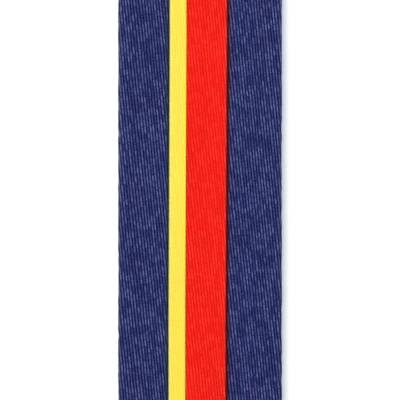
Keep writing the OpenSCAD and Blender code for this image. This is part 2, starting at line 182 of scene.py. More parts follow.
@contextmanager
def editing(piece: Piece, mode: str = "FACE") -> Iterator[None]:
    """Opens a piece in edit mode with nothing selected, and closes it again.

    Args:
        piece: The piece to edit.
        mode: VERT, EDGE or FACE.

    Yields:
        Nothing.
    """
    only(piece)
    bpy.ops.object.mode_set(mode="EDIT")
    bpy.ops.mesh.select_mode(type=mode)
    bpy.ops.mesh.select_all(action="DESELECT")
    yield
    bpy.ops.object.mode_set(mode="OBJECT")


def pick(piece: Piece, kind: str, rule: Callable[[object], bool]) -> None:
    """Selects exactly those parts of an opened piece that a rule accepts.

    Args:
        piece: The piece, open in edit mode.
        kind: verts, edges or faces.
        rule: Says of one part whether it is wanted.
    """
    shape = bmesh.from_edit_mesh(piece.data)
    parts = getattr(shape, kind)
    for part in parts:
        part.select_set(False)
    for part in parts:
        if rule(part):
            part.select_set(True)
    if kind == "verts":
        shape.select_flush_mode()
    bmesh.update_edit_mesh(piece.data)


def pick_faces(piece: Piece, rule: Callable[[bmesh.types.BMFace], bool]) -> None:
    """Selects exactly the faces that a rule accepts."""
    pick(piece, "faces", rule)


def pick_edges(piece: Piece, rule: Callable[[bmesh.types.BMEdge], bool]) -> None:
    """Selects exactly the edges that a rule accepts."""
    pick(piece, "edges", rule)


def pick_points(piece: Piece, rule: Callable[[Vector], bool]) -> None:
    """Selects exactly the points whose places a rule accepts."""
    pick(piece, "verts", lambda point: rule(point.co))


def pick_cap(piece: Piece, up: bool = True) -> None:
    """Selects the widest flat face that looks up or down.

    Args:
        piece: The piece, open in edit mode.
        up: Whether the face looks up.
    """
    shape = bmesh.from_edit_mesh(piece.data)
    side = 1 if up else -1
    facing = [face for face in shape.faces if face.normal.z * side > 0.99]
    cap = max(facing, key=lambda face: (face.calc_area(), face.calc_center_median().z * side))
    pick_faces(piece, lambda face: face == cap)


def step_in(width: float, rise: float) -> None:
    """Insets the picked face by a width, then moves what is inside up by a rise.

    Args:
        width: Width of the ring that is left, in metres.
        rise: How far the inside moves along Z, in metres.
    """
    bpy.ops.mesh.inset(thickness=width, depth=0)
    if rise:
        bpy.ops.mesh.extrude_region_move(TRANSFORM_OT_translate={"value": (0, 0, rise)})


def cut_steps(*steps: tuple[float, float]) -> None:
    """Cuts one step after another into the picked face, each a ring's width and a rise."""
    for width, rise in steps:
        step_in(width, rise)


def modify(piece: Piece, kind: str, **settings: object) -> None:
    """Adds a modifier to a piece and applies it.

    Args:
        piece: The piece.
        kind: The modifier's type.
        **settings: The modifier's own settings.
    """
    only(piece)
    modifier = piece.modifiers.new(kind.lower(), kind)
    for name, value in settings.items():
        setattr(modifier, name, value)
    bpy.ops.object.modifier_apply(modifier=modifier.name)


def round_edges(piece: Piece, width: float, segments: int = 2, angle: float = 38) -> None:
    """Rounds every edge of a piece that is sharper than an angle.

    Args:
        piece: The piece.
        width: Width of the rounding, in metres.
        segments: Faces across the rounding.
        angle: Sharpness that counts as an edge, in degrees.
    """
    modify(piece, "BEVEL", width=width, segments=segments, limit_method="ANGLE",
           angle_limit=math.radians(angle), use_clamp_overlap=True)


def smooth(piece: Piece, angle: float = 32) -> Piece:
    """Shades a piece smooth, except across edges sharper than an angle.

    Args:
        piece: The piece.
        angle: The angle, in degrees.

    Returns:
        The same piece.
    """
    only(piece)
    bpy.ops.object.shade_smooth_by_angle(angle=math.radians(angle), keep_sharp_edges=False)
    return piece


def settle(piece: Piece, angle: float = 32) -> Piece:
    """Shades a machined piece smooth and keeps its wide faces truly flat.

    Args:
        piece: The piece.
        angle: Sharpness of an edge that stays crisp, in degrees.

    Returns:
        The same piece.
    """
    smooth(piece, angle)
    modify(piece, "WEIGHTED_NORMAL", keep_sharp=True, weight=100)
    return piece


def face_outwards(piece: Piece) -> None:
    """Turns every face of a closed piece outwards.

    Args:
        piece: The piece.
    """
    with editing(piece):
        bpy.ops.mesh.select_all(action="SELECT")
        bpy.ops.mesh.normals_make_consistent(inside=False)


def place(piece: Piece, matrix: Matrix) -> Piece:
    """Moves a piece's mesh by a matrix and leaves its object at the origin.

    Args:
        piece: The piece.
        matrix: Where the mesh goes.

    Returns:
        The same piece.
    """
    piece.data.transform(matrix)
    if matrix.determinant() < 0:
        piece.data.flip_normals()
    return piece


def repeat(piece: Piece, places: list[Matrix]) -> Piece:
    """Puts a copy of a piece at each place and joins the copies into one piece.

    Args:
        piece: The piece to copy, modelled at the origin. It is used up.
        places: One matrix for each copy.

    Returns:
        The joined piece, which keeps the first one's name.
    """
    copies = [place(bring_in(piece.name, piece.data.copy()), matrix) for matrix in places]
    name = piece.name
    bpy.data.objects.remove(piece)
    return join(name, copies)


def join(name: str, pieces: list[Piece]) -> Piece:
    """Joins pieces into one.

    Args:
        name: Name of the joined piece.
        pieces: What to join.

    Returns:
        The joined piece.
    """
    bpy.ops.object.select_all(action="DESELECT")
    for piece in pieces:
        piece.select_set(True)
    bpy.context.view_layer.objects.active = pieces[0]
    bpy.ops.object.join()
    pieces[0].name = name
    pieces[0].data.name = name
    return pieces[0]


def facing_front(centre: Vector) -> Matrix:
    """Returns the place that stands a relief modelled face up against a front at a point."""
    return Matrix.Translation(centre) @ Matrix.Rotation(QUARTER, 4, "X")


def facing_back(centre: Vector) -> Matrix:
    """Returns the place that stands a relief modelled face up against a back at a point."""
    return facing_front(centre) @ Matrix.Rotation(2 * QUARTER, 4, "Y")


def turned(angle: float, radius: float = 0, height: float = 0) -> Matrix:
    """Returns a place on a circle: turned about Z by degrees, then moved out and up."""
    return (Matrix.Rotation(math.radians(angle), 4, "Z")
            @ Matrix.Translation((radius, 0, height)))


def eased_copy(node: str, edge: float) -> Piece:
    """Copies a CAD node's mesh, merges it and rounds its edges as a polisher would.

    Args:
        node: The CAD node.
        edge: Width of the rounding, in metres, or 0 for none.

    Returns:
        The new piece.
    """
    mesh = frame["nodes"][node].data.copy()
    mesh.materials.clear()
    piece = bring_in(f"{node}_eased", mesh)
    with editing(piece, "VERT"):
        bpy.ops.mesh.select_all(action="SELECT")
        bpy.ops.mesh.customdata_custom_splitnormals_clear()
        bpy.ops.mesh.remove_doubles(threshold=WELD)
        bpy.ops.mesh.dissolve_limited(angle_limit=FLAT)
    if edge:
        round_edges(piece, edge)
    return settle(piece)


def finish_piece(piece: Piece, body: str, slot: Slot, finish: Material,
                 *nodes: str) -> None:
    """Dresses a piece, hangs it on its body and hides the CAD nodes that it replaces.

    Args:
        piece: The finished mesh.
        body: The CAD body it moves with.
        slot: The record's material slot; not used.
        finish: The material.
        *nodes: The CAD nodes that it replaces.
    """
    piece.data.materials.clear()
    piece.data.materials.append(finish)
    if nodes:
        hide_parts(*nodes)
    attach(piece, body)
    log.info("%s: %d faces, rides on %s", piece.name, len(piece.data.polygons), body)


# ---- Finishes ----


class Wiring:
    """Places nodes in a tree and links them, one short call for each."""

    def __init__(self, tree: bpy.types.NodeTree) -> None:
        """Keeps the tree that the nodes go into."""
        self.tree = tree

    def add(self, kind: str, **settings: object) -> bpy.types.Node:
        """Adds a node and sets its own settings.

        Args:
            kind: The node's type without its ShaderNode prefix.
            **settings: The node's settings.

        Returns:
            The node.
        """
        node = self.tree.nodes.new(kind if kind.startswith("Node") else "ShaderNode" + kind)
        for name, value in settings.items():
            setattr(node, name, value)
        return node

    def feed(self, target: Socket, source: object) -> None:
        """Links a socket to a source, or sets it when the source is a plain value.

        Args:
            target: The socket to feed.
            source: Another node's socket, a number, a colour or a vector.
        """
        if isinstance(source, bpy.types.NodeSocket):
            self.tree.links.new(source, target)
        elif isinstance(source, tuple) and len(source) == 3 and target.type == "RGBA":
            target.default_value = (*source, 1)
        else:
            target.default_value = source

    def math(self, operation: str, *values: object, clamp: bool = False) -> Socket:
        """Returns the result of a math node on one to three values.

        Args:
            operation: The node's operation.
            *values: Sockets or numbers, in the node's own order.
            clamp: Whether the result stays between 0 and 1.

        Returns:
            The result.
        """
        node = self.add("Math", operation=operation, use_clamp=clamp)
        for socket, value in zip(node.inputs, values):
            self.feed(socket, value)
        return node.outputs[0]

    def times(self, a: object, b: object) -> Socket:
        """Returns two values multiplied."""
        return self.math("MULTIPLY", a, b)

    def plus(self, a: object, b: object, share: float = 1.0, clamp: bool = False) -> Socket:
        """Returns a value with a share of another one added."""
        return self.math("MULTIPLY_ADD", b, share, a, clamp=clamp)

    def swing(self, a: object, value: object, share: float) -> Socket:
        """Returns a value pushed up and down by a share of one that lies around a half."""
        return self.plus(a, self.math("SUBTRACT", value, 0.5), share)

    def ramp(self, value: object, low: float, high: float,
             to_low: float = 0.0, to_high: float = 1.0) -> Socket:
        """Returns a value moved smoothly from one range to another and kept inside it.

        Args:
            value: The value.
            low: Where it begins to move.
            high: Where it stops.
            to_low: Result up to low.
            to_high: Result from high on.

        Returns:
            The moved value.
        """
        node = self.add("MapRange", interpolation_type="SMOOTHSTEP")
        for socket, source in zip(node.inputs, (value, low, high, to_low, to_high)):
            self.feed(socket, source)
        return node.outputs[0]

    def mix(self, share: object, a: object, b: object, blend: str = "MIX") -> Socket:
        """Returns two colours mixed by a share.

        Args:
            share: Share of the second colour, from 0 to 1.
            a: The first colour.
            b: The second colour.
            blend: How the second is laid over the first.

        Returns:
            The mixed colour.
        """
        node = self.add("Mix", data_type="RGBA", blend_type=blend)
        self.feed(node.inputs[0], share)
        self.feed(node.inputs[6], a)
        self.feed(node.inputs[7], b)
        return node.outputs[2]

    def place(self) -> Socket:
        """Returns the places on the piece itself, in metres."""
        return self.add("TexCoord").outputs["Object"]

    def split(self, vector: object) -> tuple[Socket, ...]:
        """Returns the three numbers of a vector.

        Args:
            vector: The vector.

        Returns:
            Its X, Y and Z.
        """
        node = self.add("SeparateXYZ")
        self.feed(node.inputs[0], vector)
        return tuple(node.outputs)

    def noise(self, place: object, scale: float, detail: float = 2.0) -> Socket:
        """Returns cloudy noise from 0 to 1 at a place.

        Args:
            place: The place.
            scale: How fine the noise is.
            detail: How many finer layers it has.

        Returns:
            The noise.
        """
        node = self.add("TexNoise")
        self.feed(node.inputs["Vector"], place)
        node.inputs["Scale"].default_value = scale
        node.inputs["Detail"].default_value = detail
        return node.outputs[0]

    def dice(self, a: object, b: object) -> Socket:
        """Returns a random value from 0 to 1 that belongs to a pair of whole numbers.

        Args:
            a: The first number.
            b: The second number.

        Returns:
            The random value.
        """
        pair = self.add("CombineXYZ")
        self.feed(pair.inputs[0], a)
        self.feed(pair.inputs[1], b)
        node = self.add("TexWhiteNoise", noise_dimensions="2D")
        self.feed(node.inputs["Vector"], pair.outputs[0])
        return node.outputs[0]

    def stretched(self, scale: tuple[float, float, float]) -> Socket:
        """Returns Object coordinates stretched by three factors.

        Args:
            scale: The factors along X, Y and Z.

        Returns:
            The stretched coordinates.
        """
        node = self.add("Mapping")
        self.feed(node.inputs["Vector"], self.place())
        node.inputs["Scale"].default_value = scale
        return node.outputs[0]

    def stops(self, value: object, marks: list[tuple[float, Colour]]) -> Socket:
        """Returns the colour that a value from 0 to 1 has on a row of marks.

        Args:
            value: The value.
            marks: Pairs of a value and its colour, in rising order.

        Returns:
            The colour.
        """
        node = self.add("ValToRGB")
        elements = node.color_ramp.elements
        while len(elements) > 1:
            elements.remove(elements[-1])
        elements[0].position = marks[0][0]
        elements[0].color = (*marks[0][1], 1)
        for position, colour in marks[1:]:
            elements.new(position).color = (*colour, 1)
        self.feed(node.inputs[0], value)
        return node.outputs[0]


class Finish:
    """A material in the making: its wiring and its principled shader."""

    def __init__(self, name: str) -> None:
        """Makes an empty material with one principled shader.

        Args:
            name: The material's name.
        """
        self.material = bpy.data.materials.new(name)
        self.material.use_nodes = True
        self.wiring = Wiring(self.material.node_tree)
        self.shader = self.material.node_tree.nodes["Principled BSDF"]

    def set(self, **values: object) -> None:
        """Sets or feeds the shader's sockets; an underscore stands for a space."""
        for name, value in values.items():
            self.wiring.feed(self.shader.inputs[name.replace("_", " ")], value)

    def relief(self, height: Socket, depth: float, strength: float = 1.0) -> None:
        """Feeds the shader's normal from a height of a given depth in metres.

        Args:
            height: The height, from 0 to about 1.
            depth: Depth of the relief, in metres.
            strength: How strongly it shows.
        """
        bump = self.wiring.add("Bump")
        bump.inputs["Strength"].default_value = strength
        bump.inputs["Distance"].default_value = depth
        self.wiring.feed(bump.inputs["Height"], height)
        self.set(Normal=bump.outputs["Normal"])


@dataclass(frozen=True)
class MetalSurface:
    """The surface that all struck metal here shares: tarnish, handling marks and grain.

    Attributes:
        clouds: Scale of the soft clouds of tone.
        grain: Scale of the fine grain.
        wipe: Stretch of the handling marks along X, Y and Z.
        scratch: Where among the marks a scratch begins and is full.
        cover: Where the tarnish begins and is full.
    """

    clouds: float = 420
    grain: float = 9000
    wipe: tuple[float, float, float] = (1100, 900, 260)
    scratch: tuple[float, float] = (0.64, 0.70)
    cover: tuple[float, float] = (0.34, 0.95)

    def make(self) -> bpy.types.NodeTree:
        """Builds the surface as a node group.

        Returns:
            The group, with inputs Clean, Dark, Recess, Tarnish and Roughness.
        """
        group = bpy.data.node_groups.new("metal_surface", "ShaderNodeTree")
        for way, kind, names in (("INPUT", "Color", ("Clean", "Dark")),
                                 ("INPUT", "Float", ("Recess", "Tarnish", "Roughness")),
                                 ("OUTPUT", "Color", ("Colour",)),
                                 ("OUTPUT", "Float", ("Roughness", "Height"))):
            for name in names:
                group.interface.new_socket(name, in_out=way, socket_type="NodeSocket" + kind)
        wiring = Wiring(group)
        given = wiring.add("NodeGroupInput").outputs
        result = wiring.add("NodeGroupOutput").inputs
        place = wiring.place()
        clouds = wiring.noise(place, self.clouds, 4)
        grain = wiring.noise(place, self.grain, 2)
        scratches = wiring.ramp(wiring.noise(wiring.stretched(self.wipe), 3, 3), *self.scratch)

        cover = wiring.plus(given["Recess"], clouds, 0.35)
        tarnish = wiring.times(wiring.ramp(cover, *self.cover), given["Tarnish"])
        toned = wiring.mix(wiring.ramp(clouds, 0.3, 0.75, 0.0, 0.35), given["Clean"], given["Dark"])
        wiring.feed(result["Colour"], wiring.mix(tarnish, toned, given["Dark"]))

        rough = wiring.plus(given["Roughness"], wiring.ramp(clouds, 0.3, 0.7, -0.04, 0.07))
        rough = wiring.plus(rough, scratches, 0.05)
        wiring.feed(result["Roughness"], wiring.plus(rough, tarnish, 0.22, clamp=True))

        scored = wiring.plus(wiring.times(clouds, 0.8), scratches, -0.25)
        wiring.feed(result["Height"], wiring.plus(scored, grain, 0.35))
        return group


@dataclass(frozen=True)
class Metal:
    """A metal finish.

    Attributes:
        name: Name of the material.
        clean: Colour where it is bright.
        dark: Colour where it has toned.
        roughness: Roughness where it is clean.
        tarnish: How strongly the hollows tone, from 0 to 1.
        relief: Depth of its surface grain, in metres.
        reach: How far a wall shades a hollow beside it, in metres.
    """

    name: str
    clean: Colour
    dark: Colour
    roughness: float
    tarnish: float
    relief: float
    reach: float = 0.9 * MM

    def make(self, group: bpy.types.NodeTree) -> Material:
        """Builds the material around the shared surface group.

        Args:
            group: The shared metal surface.

        Returns:
            The material.
        """
        finish = Finish(self.name)
        wiring = finish.wiring
        hollows = wiring.add("AmbientOcclusion", samples=4, only_local=True)
        hollows.inputs["Distance"].default_value = self.reach
        surface = wiring.add("Group", node_tree=group)
        for name, value in (("Clean", self.clean), ("Dark", self.dark),
                            ("Recess", wiring.math("SUBTRACT", 1.0, hollows.outputs["AO"])),
                            ("Tarnish", self.tarnish), ("Roughness", self.roughness)):
            wiring.feed(surface.inputs[name], value)
        finish.set(Base_Color=surface.outputs["Colour"], Roughness=surface.outputs["Roughness"],
                   Metallic=1.0)
        finish.relief(surface.outputs["Height"], self.relief)
        return finish.material


@dataclass(frozen=True)
class Stripe:
    """One stripe of the ribbon.

    Attributes:
        width: Its width, in millimetres.
        painted_shade: Painted shade: the yarn's tone darkened between the ribs, where shade falls.
        body: Tone of its yarn on a rib.
        painted_glint: Painted highlight: the tone of a float that catches the light.
    """

    width: float
    painted_shade: Colour
    body: Colour
    painted_glint: Colour


@dataclass(frozen=True)
class RibbonCloth:
    """The ribbon's woven finish: fine steep ribs in stripes of dyed yarn, with painted shade between the
    ribs and painted highlights on the floats.

    Attributes:
        stripes: The stripes from left to right, as seen from the front.
        edge_blur: Half the width over which one stripe turns into the next, in millimetres.
        float_length: Length of one float of a rib, in millimetres.
        speck: Scale of the yarn's unevenness, for each millimetre.
        grain: Scale of the spots where a rib's thread breaks up.
        calm: Scale of the areas where the painted highlight is fainter than elsewhere.
        patches: Scale of the slow drift from cool to warm.
        fray: How far the unevenness moves a stripe's edge, in millimetres.
        relief: Depth of the ribs and floats, in metres.
    """

    stripes: tuple[Stripe, ...]
    edge_blur: float = 0.05
    float_length: float = 1.45
    speck: float = 1.9
    grain: float = 4.2
    calm: float = 0.4
    patches: float = 0.13
    fray: float = 0.12
    relief: float = 0.03 * MM

    @property
    def whole(self) -> float:
        """The width of all stripes together, in millimetres."""
        return sum(stripe.width for stripe in self.stripes)

    def marks(self, tone: str) -> list[tuple[float, Colour]]:
        """Returns the colour marks of one tone across the ribbon.

        Args:
            tone: shade (painted shade between the ribs), body (the yarn's tone on a rib) or glint (painted
                highlight of a float).

        Returns:
            Pairs of a share of the width and a colour.
        """
        marks, edge = [], 0.0
        for stripe in self.stripes:
            colour = getattr(stripe, tone)
            if edge:
                marks.append(((edge + self.edge_blur) / self.whole, colour))
            edge += stripe.width
            if stripe is not self.stripes[-1]:
                marks.append(((edge - self.edge_blur) / self.whole, colour))
        return marks

    def floats(self, wiring: Wiring, rib: Socket, along: Socket) -> tuple[Socket, Socket]:
        """Cuts each rib into floats of uneven length, which start at a place of their own.

        Args:
            wiring: The material's wiring.
            rib: The rib's number.
            along: Place along the ribbon, in millimetres.

        Returns:
            How far up a float's rounded back a place lies, and the float's own random value.
        """
        lead = wiring.times(wiring.dice(rib, 3.0), 9.0)
        pace = wiring.plus(0.8, wiring.dice(rib, 11.0), 0.5)
        run = wiring.plus(lead, wiring.times(wiring.math("DIVIDE", along, self.float_length), pace))
        offset = wiring.math("ABSOLUTE", wiring.math("SUBTRACT", wiring.math("FRACT", run), 0.5))
        return wiring.ramp(offset, 0.5, 0.2), wiring.dice(rib, wiring.math("FLOOR", run))

    def make(self) -> Material:
        """Builds the cloth.

        Returns:
            The material.
        """
        finish = Finish("ribbon_cloth")
        wiring = finish.wiring
        cloth = wiring.add("UVMap", uv_map="cloth").outputs[0]
        across, along, _ = wiring.split(cloth)
        phase = wiring.split(wiring.add("UVMap", uv_map="weave").outputs[0])[0]

        rib = wiring.math("FLOOR", wiring.plus(phase, 0.5))
        wave = wiring.math("COSINE", wiring.times(phase, 2 * math.pi))
        crest = wiring.math("MULTIPLY_ADD", wave, 0.5, 0.5)
        pillow, luck = self.floats(wiring, rib, along)

        speck = wiring.noise(cloth, self.speck, 3)
        grain = wiring.noise(cloth, self.grain)
        patches = wiring.noise(cloth, self.patches)
        calm = wiring.ramp(wiring.noise(cloth, self.calm), 0.35, 0.6, 0.45, 1.0)

        share = wiring.math("DIVIDE", wiring.swing(across, speck, self.fray), self.whole)
        # The colour mixes each stripe's painted shade between the ribs with its body tone, then lays painted
        # highlights on the floats.
        painted_shade, body, painted_glint = (wiring.stops(share, self.marks(tone)) for tone in ("painted_shade", "body", "painted_glint"))

        # Share of the rib's body tone over the painted shade between the ribs, highest on a rib's crest.
        lift = wiring.times(crest, wiring.ramp(luck, 0.0, 1.0, 0.5, 1.0))
        lift = wiring.swing(wiring.swing(lift, speck, 0.35), grain, 1.7)
        colour = wiring.mix(wiring.ramp(lift, 0.1, 0.62), painted_shade, body)
        # Share of the painted highlight on the floats: strongest on rib crests and on the tops of the
        # floats' rounded backs.
        bright = wiring.times(wiring.math("POWER", crest, 3.0), calm)
        for value, low, high, least, most in ((pillow, 0.0, 1.0, 0.25, 1.0), (luck, 0.1, 1.0, 0.2, 1.1),
                                              (grain, 0.32, 0.62, 0.3, 1.3)):
            bright = wiring.times(bright, wiring.ramp(value, low, high, least, most))
        colour = wiring.mix(wiring.math("MINIMUM", bright, 1.0), colour, painted_glint)
        warmth = wiring.mix(patches, (0.88, 1.04, 1.02), (1.12, 0.96, 1.0))
        colour = wiring.mix(0.8, colour, warmth, "MULTIPLY")
        finish.set(Base_Color=colour, Roughness=0.85, Specular_IOR_Level=0.12,
                   Sheen_Weight=0.04, Sheen_Roughness=0.4)
        finish.relief(wiring.plus(wiring.plus(crest, pillow, 0.35), speck, 0.3), self.relief, 0.8)
        return finish.material


@dataclass(frozen=True)
class SewingThread:
    """Twisted sewing thread of one colour, with painted shade between its plies and painted highlights on
    them.

    Attributes:
        colour: The thread's own colour.
        twist: Scale of its fuzz, six times that of its plies.
        relief: Depth of the grooves between the plies, in metres.
    """

    colour: Colour
    twist: float = 5200
    relief: float = 0.03 * MM

    def make(self) -> Material:
        """Builds the thread's material.

        Returns:
            The material.
        """
        finish = Finish("sewing_thread")
        wiring = finish.wiring
        plies = wiring.add("TexWave", wave_type="BANDS", bands_direction="DIAGONAL")
        wiring.feed(plies.inputs["Vector"], wiring.place())
        plies.inputs["Scale"].default_value = self.twist / 6
        plies.inputs["Distortion"].default_value = 0.6
        twist = plies.outputs[1]
        # Darker and lighter copies of the thread colour follow the plies: painted shade in the grooves and
        # painted highlights on the crests.
        dark = tuple(value * 0.45 for value in self.colour)
        light = tuple(min(1, value * 1.9) for value in self.colour)
        fuzz = wiring.noise(wiring.place(), self.twist)
        colour = wiring.mix(wiring.ramp(twist, 0.1, 0.9), dark, light)
        colour = wiring.mix(wiring.times(fuzz, 0.5), colour, self.colour)
        finish.set(Base_Color=colour, Roughness=0.7, Specular_IOR_Level=0.25, Sheen_Weight=0.1)
        finish.relief(wiring.plus(twist, fuzz, 0.4), self.relief)
        return finish.material


@dataclass(frozen=True)
class Enamel:
    """Clear coloured enamel over metal that is cut with rays.

    Attributes:
        deep: Colour between the rays.
        clear: Colour over a ray's bright flank.
        rays: Number of rays round the centre.
        centre: Middle of the enamel, in metres.
        ripple: How fast the rays waver outwards, in radians for each metre.
        relief: Depth of the cut rays, in metres.
    """

    deep: Colour
    clear: Colour
    rays: int
    centre: tuple[float, float, float]
    ripple: float = 5200.0
    relief: float = 0.05 * MM

    def make(self) -> Material:
        """Builds the enamel.

        Returns:
            The material.
        """
        finish = Finish("enamel")
        wiring = finish.wiring
        place = wiring.place()
        moved = wiring.add("VectorMath", operation="SUBTRACT")
        wiring.feed(moved.inputs[0], place)
        moved.inputs[1].default_value = self.centre
        x, _, z = wiring.split(moved.outputs[0])
        radius = wiring.add("VectorMath", operation="LENGTH")
        wiring.feed(radius.inputs[0], moved.outputs[0])
        ripple = wiring.math("SINE", wiring.times(radius.outputs["Value"], self.ripple))
        angle = wiring.times(wiring.math("ARCTAN2", z, x), float(self.rays))
        rays = wiring.math("SINE", wiring.plus(angle, ripple, 0.35))
        depth = wiring.noise(place, 260, 3)
        colour = wiring.mix(wiring.ramp(rays, -0.7, 1.0), self.deep, self.clear)
        colour = wiring.mix(wiring.ramp(depth, 0.35, 0.7, 0.0, 0.5), colour, self.deep)
        finish.set(Base_Color=colour, Roughness=0.3, Metallic=0.35, Coat_Weight=1.0, Coat_Roughness=0.03)
        finish.relief(rays, self.relief, 0.7)
        return finish.material


# ---- Shapes that several pieces share ----


def puck(name: str, radius: float, depth: float, sides: int = 128) -> Piece:
    """Adds a short cylinder that stands on the origin.

    Args:
        name: The piece's name.
        radius: Its radius, in metres.
        depth: Its height, in metres.
        sides: Faces round it.

    Returns:
        The cylinder.
    """
    bpy.ops.mesh.primitive_cylinder_add(vertices=sides, radius=radius, depth=depth,
                                        location=(0, 0, depth / 2))
    return just_added(name)


def sharp_ray(name: str, length: float, half_width: float, flatness: float) -> Piece:
    """Models one pointed ray with a ridge, which lies along +X from the origin.

    Args:
        name: The piece's name.
        length: Its length, in metres.
        half_width: Half its width at the root, in metres.
        flatness: Height of the ridge as a share of the half width.

    Returns:
        The ray.
    """
    bpy.ops.mesh.primitive_cone_add(vertices=4, radius1=half_width, radius2=0, depth=1)
    return place(just_added(name), Matrix.Diagonal((length, 1, flatness, 1))
                 @ Matrix.Translation((0.5, 0, 0)) @ Matrix.Rotation(QUARTER, 4, "Y"))


def laurel_leaf(length: float, width: float, height: float, name: str = "leaf") -> Piece:
    """Models one laurel leaf lying along +X from the origin, with a sunk midrib.

    Args:
        length: Length, in metres.
        width: Width at its widest, in metres.
        height: Height of its two lobes above what it lies on, in metres.
        name: The piece's name.

    Returns:
        The leaf.
    """
    columns, rows = 8, 4
    bpy.ops.mesh.primitive_grid_add(x_subdivisions=columns, y_subdivisions=rows, size=1)
    leaf = just_added(name)
    place(leaf, Matrix.Diagonal((length, width, 1, 1)) @ Matrix.Translation((0.5, 0, 0)))
    with editing(leaf, "VERT"):
        for column in range(columns + 1):
            along = column / columns
            x = along * length
            share = max(0.02, math.sin(math.pi * along ** 0.85) ** 0.8)
            pick_points(leaf, lambda co: abs(co.x - x) < length * 0.02)
            bpy.ops.transform.resize(value=(1, share, 1), center_override=(x, 0, 0))
            swell = height * share ** 0.5
            for row, lift in ((0, 0.62), (1, 1.0)):
                y = width * share * row / rows
                pick_points(leaf, lambda co: abs(co.x - x) < length * 0.02
                            and abs(abs(co.y) - y) < width * share * 0.1)
                bpy.ops.transform.translate(value=(0, 0, swell * lift))
        bpy.ops.mesh.select_all(action="SELECT")
        bpy.ops.mesh.remove_doubles(threshold=0.01 * MM)
        bpy.ops.mesh.normals_make_consistent(inside=False)
    if leaf.data.polygons[0].normal.z < 0:
        leaf.data.flip_normals()
    modify(leaf, "SOLIDIFY", thickness=height * 0.4, offset=-1)
    return smooth(leaf, 50)


def bead(radius: float, name: str = "bead") -> Piece:
    """Models one small bead at the origin.

    Args:
        radius: Its radius, in metres.
        name: The piece's name.

    Returns:
        The bead.
    """
    bpy.ops.mesh.primitive_uv_sphere_add(segments=10, ring_count=6, radius=radius)
    return smooth(just_added(name), 180)


# ---- Ribbon ----


